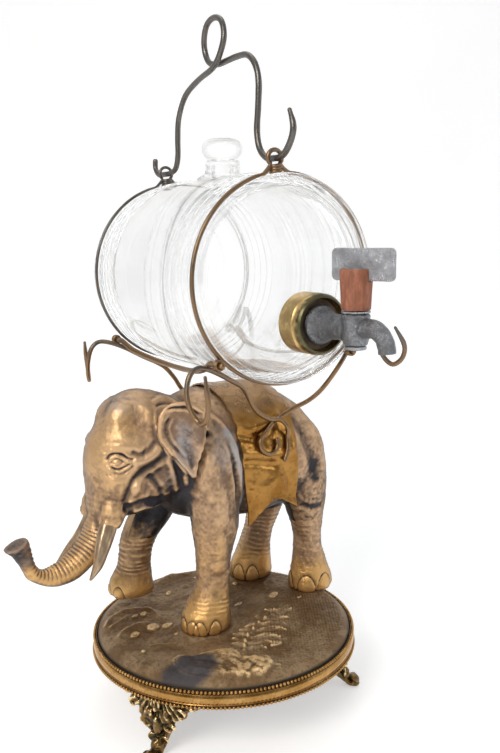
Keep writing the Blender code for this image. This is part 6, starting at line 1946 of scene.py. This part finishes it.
# Floor and backdrop: where the floor bends up, radius of the bend, its near end, its top and half its width
BEND_AT, BEND, FLOOR_NEAR, FLOOR_TOP, FLOOR_HALF = 0.55, 0.35, -3.0, 2.4, 3.6


def seen(f, most):
    """Glow that only the camera, reflections and glass see."""
    rays = [f.node("LightPath", {}, output=name) for name in ("Is Camera Ray", "Is Glossy Ray", "Is Transmission Ray")]
    return f.times(f.maths("MINIMUM", f.add(f.add(rays[0], rays[1]), rays[2]), 1.0), most)


def build_stage():
    stage = chosen("stage")
    f = Finish("pale studio floor", Roughness=0.7, Emission_Color=(1, 1, 1, 1))
    colour = f.over(stage.floor, dim(stage.floor, 0.98), f.noise(9, 3, 0.5), 0.3, 0.7)
    f.tree.links.new(seen(f, stage.glow), f.shader.inputs["Emission Strength"])
    bend = [math.radians(a) for a in range(10, 91, 10)]
    sweep = [(FLOOR_NEAR, 0), (BEND_AT, 0)]
    sweep += [(BEND_AT + BEND * math.sin(a), BEND - BEND * math.cos(a)) for a in bend]
    sweep += [(BEND_AT + BEND, FLOOR_TOP)]
    right = Vector((math.cos(VIEW_TURN), math.sin(VIEW_TURN), 0))
    ahead = Vector((-math.sin(VIEW_TURN), math.cos(VIEW_TURN), 0))
    points = []
    for along, up in sweep:
        for side in (-FLOOR_HALF, FLOOR_HALF):
            points.append(BASE_PLACE + ahead * along + right * side + Vector((0, 0, up)))
    mesh = bpy.data.meshes.new("floor")
    mesh.from_pydata(points, [], [[2 * i, 2 * i + 1, 2 * i + 3, 2 * i + 2] for i in range(len(sweep) - 1)])
    mesh.shade_smooth()
    mesh.materials.append(f.end(colour))
    make_object("floor", mesh)


def build_camera():
    camera = bpy.data.cameras.new("camera")
    camera.lens = chosen("stage").lens
    camera.sensor_fit = "VERTICAL"
    camera.sensor_height = 36
    camera.clip_start = 0.01
    thing = make_object("camera", camera)
    c, s, level = math.cos(VIEW_TURN), math.sin(VIEW_TURN), math.cos(VIEW_TILT)
    ahead, right = Vector((-s * level, c * level, -math.sin(VIEW_TILT))), Vector((c, s, 0))
    up = right.cross(ahead)
    across = right * math.cos(VIEW_ROLL) + up * math.sin(VIEW_ROLL)
    upright = up * math.cos(VIEW_ROLL) - right * math.sin(VIEW_ROLL)
    turn = Matrix((across, upright, -ahead)).transposed().to_4x4()
    thing.matrix_world = Matrix.Translation(BASE_PLACE + VIEW_PLACE) @ turn
    bpy.context.scene.camera = thing


def add_lamp(name, power, size, place, colour=(1, 1, 1)):
    lamp = bpy.data.lights.new(name, "AREA")
    lamp.energy = power
    lamp.size = size
    lamp.color = colour
    thing = make_object(name, lamp)
    thing.location = place
    aim = BASE_PLACE + Vector((0, 0, 0.14)) - Vector(place)
    thing.rotation_euler = aim.to_track_quat("-Z", "Y").to_euler()


def build_light():
    stage = chosen("stage")
    add_lamp("key lamp", stage.key, 0.45, (-0.75, -0.45, 0.75), (1.0, 0.97, 0.92))
    add_lamp("fill lamp", stage.fill, 0.35, (0.70, -0.60, 0.45), (0.90, 0.95, 1.0))
    add_lamp("top lamp", stage.fill, 0.5, (0.10, 0.25, 1.05))
    world = bpy.data.worlds.new("studio")
    world.use_nodes = True
    tree = world.node_tree
    up = tree.nodes.new("ShaderNodeSeparateXYZ")
    tree.links.new(tree.nodes.new("ShaderNodeTexCoord").outputs["Generated"], up.inputs[0])
    sky = tree.nodes.new("ShaderNodeMapRange")
    tree.links.new(up.outputs["Z"], sky.inputs[0])
    for index, value in ((1, -0.1), (2, 0.9), (3, stage.dark), (4, stage.bright)):
        sky.inputs[index].default_value = value
    tree.links.new(sky.outputs[0], tree.nodes["Background"].inputs["Strength"])
    tree.nodes["Background"].inputs["Color"].default_value = (0.97, 0.985, 1.0, 1)
    bpy.context.scene.world = world
    bpy.context.scene.view_settings.view_transform = "Standard"


class DISPENSER_OT_stage(Step, bpy.types.Operator):
    """Pale floor and backdrop, soft lamps and the camera"""

    bl_idname = "dispenser.stage"
    bl_label = "Studio"
    builders = (build_stage, build_camera, build_light)


class DISPENSER_PT_panel(bpy.types.Panel):
    """Lists the pieces in the order in which they are built"""

    bl_label = "Spirit dispenser"
    bl_idname = "DISPENSER_PT_panel"
    bl_space_type = "VIEW_3D"
    bl_region_type = "UI"
    bl_category = "Dispenser"

    def draw(self, context):
        for group in GROUPS:
            box = self.layout.box()
            values = getattr(context.scene, group)
            for name in values.__annotations__:
                box.prop(values, name)
        for step in STEPS:
            self.layout.operator(step.bl_idname)


GROUPS = {
    "dispenser_animal": DispenserAnimal,
    "dispenser_base": DispenserBase,
    "dispenser_barrel": DispenserBarrel,
    "dispenser_wires": DispenserWires,
    "dispenser_tap": DispenserTap,
    "dispenser_stage": DispenserStage,
}
STEPS = (
    DISPENSER_OT_animal, DISPENSER_OT_saddle, DISPENSER_OT_disc, DISPENSER_OT_ring, DISPENSER_OT_feet,
    DISPENSER_OT_barrel, DISPENSER_OT_stopper, DISPENSER_OT_cradle, DISPENSER_OT_handle, DISPENSER_OT_tap,
    DISPENSER_OT_key, DISPENSER_OT_fixings, DISPENSER_OT_stage,
)


def register():
    for name, group in GROUPS.items():
        bpy.utils.register_class(group)
        setattr(bpy.types.Scene, name, PointerProperty(type=group))
    for step in STEPS:
        bpy.utils.register_class(step)
    bpy.utils.register_class(DISPENSER_PT_panel)


def unregister():
    bpy.utils.unregister_class(DISPENSER_PT_panel)
    for step in reversed(STEPS):
        bpy.utils.unregister_class(step)
    for name, group in reversed(list(GROUPS.items())):
        delattr(bpy.types.Scene, name)
        bpy.utils.unregister_class(group)


def main():
    register()
    for step in STEPS:
        space, name = step.bl_idname.split(".")
        getattr(getattr(bpy.ops, space), name)()


if __name__ == "__main__":
    main()
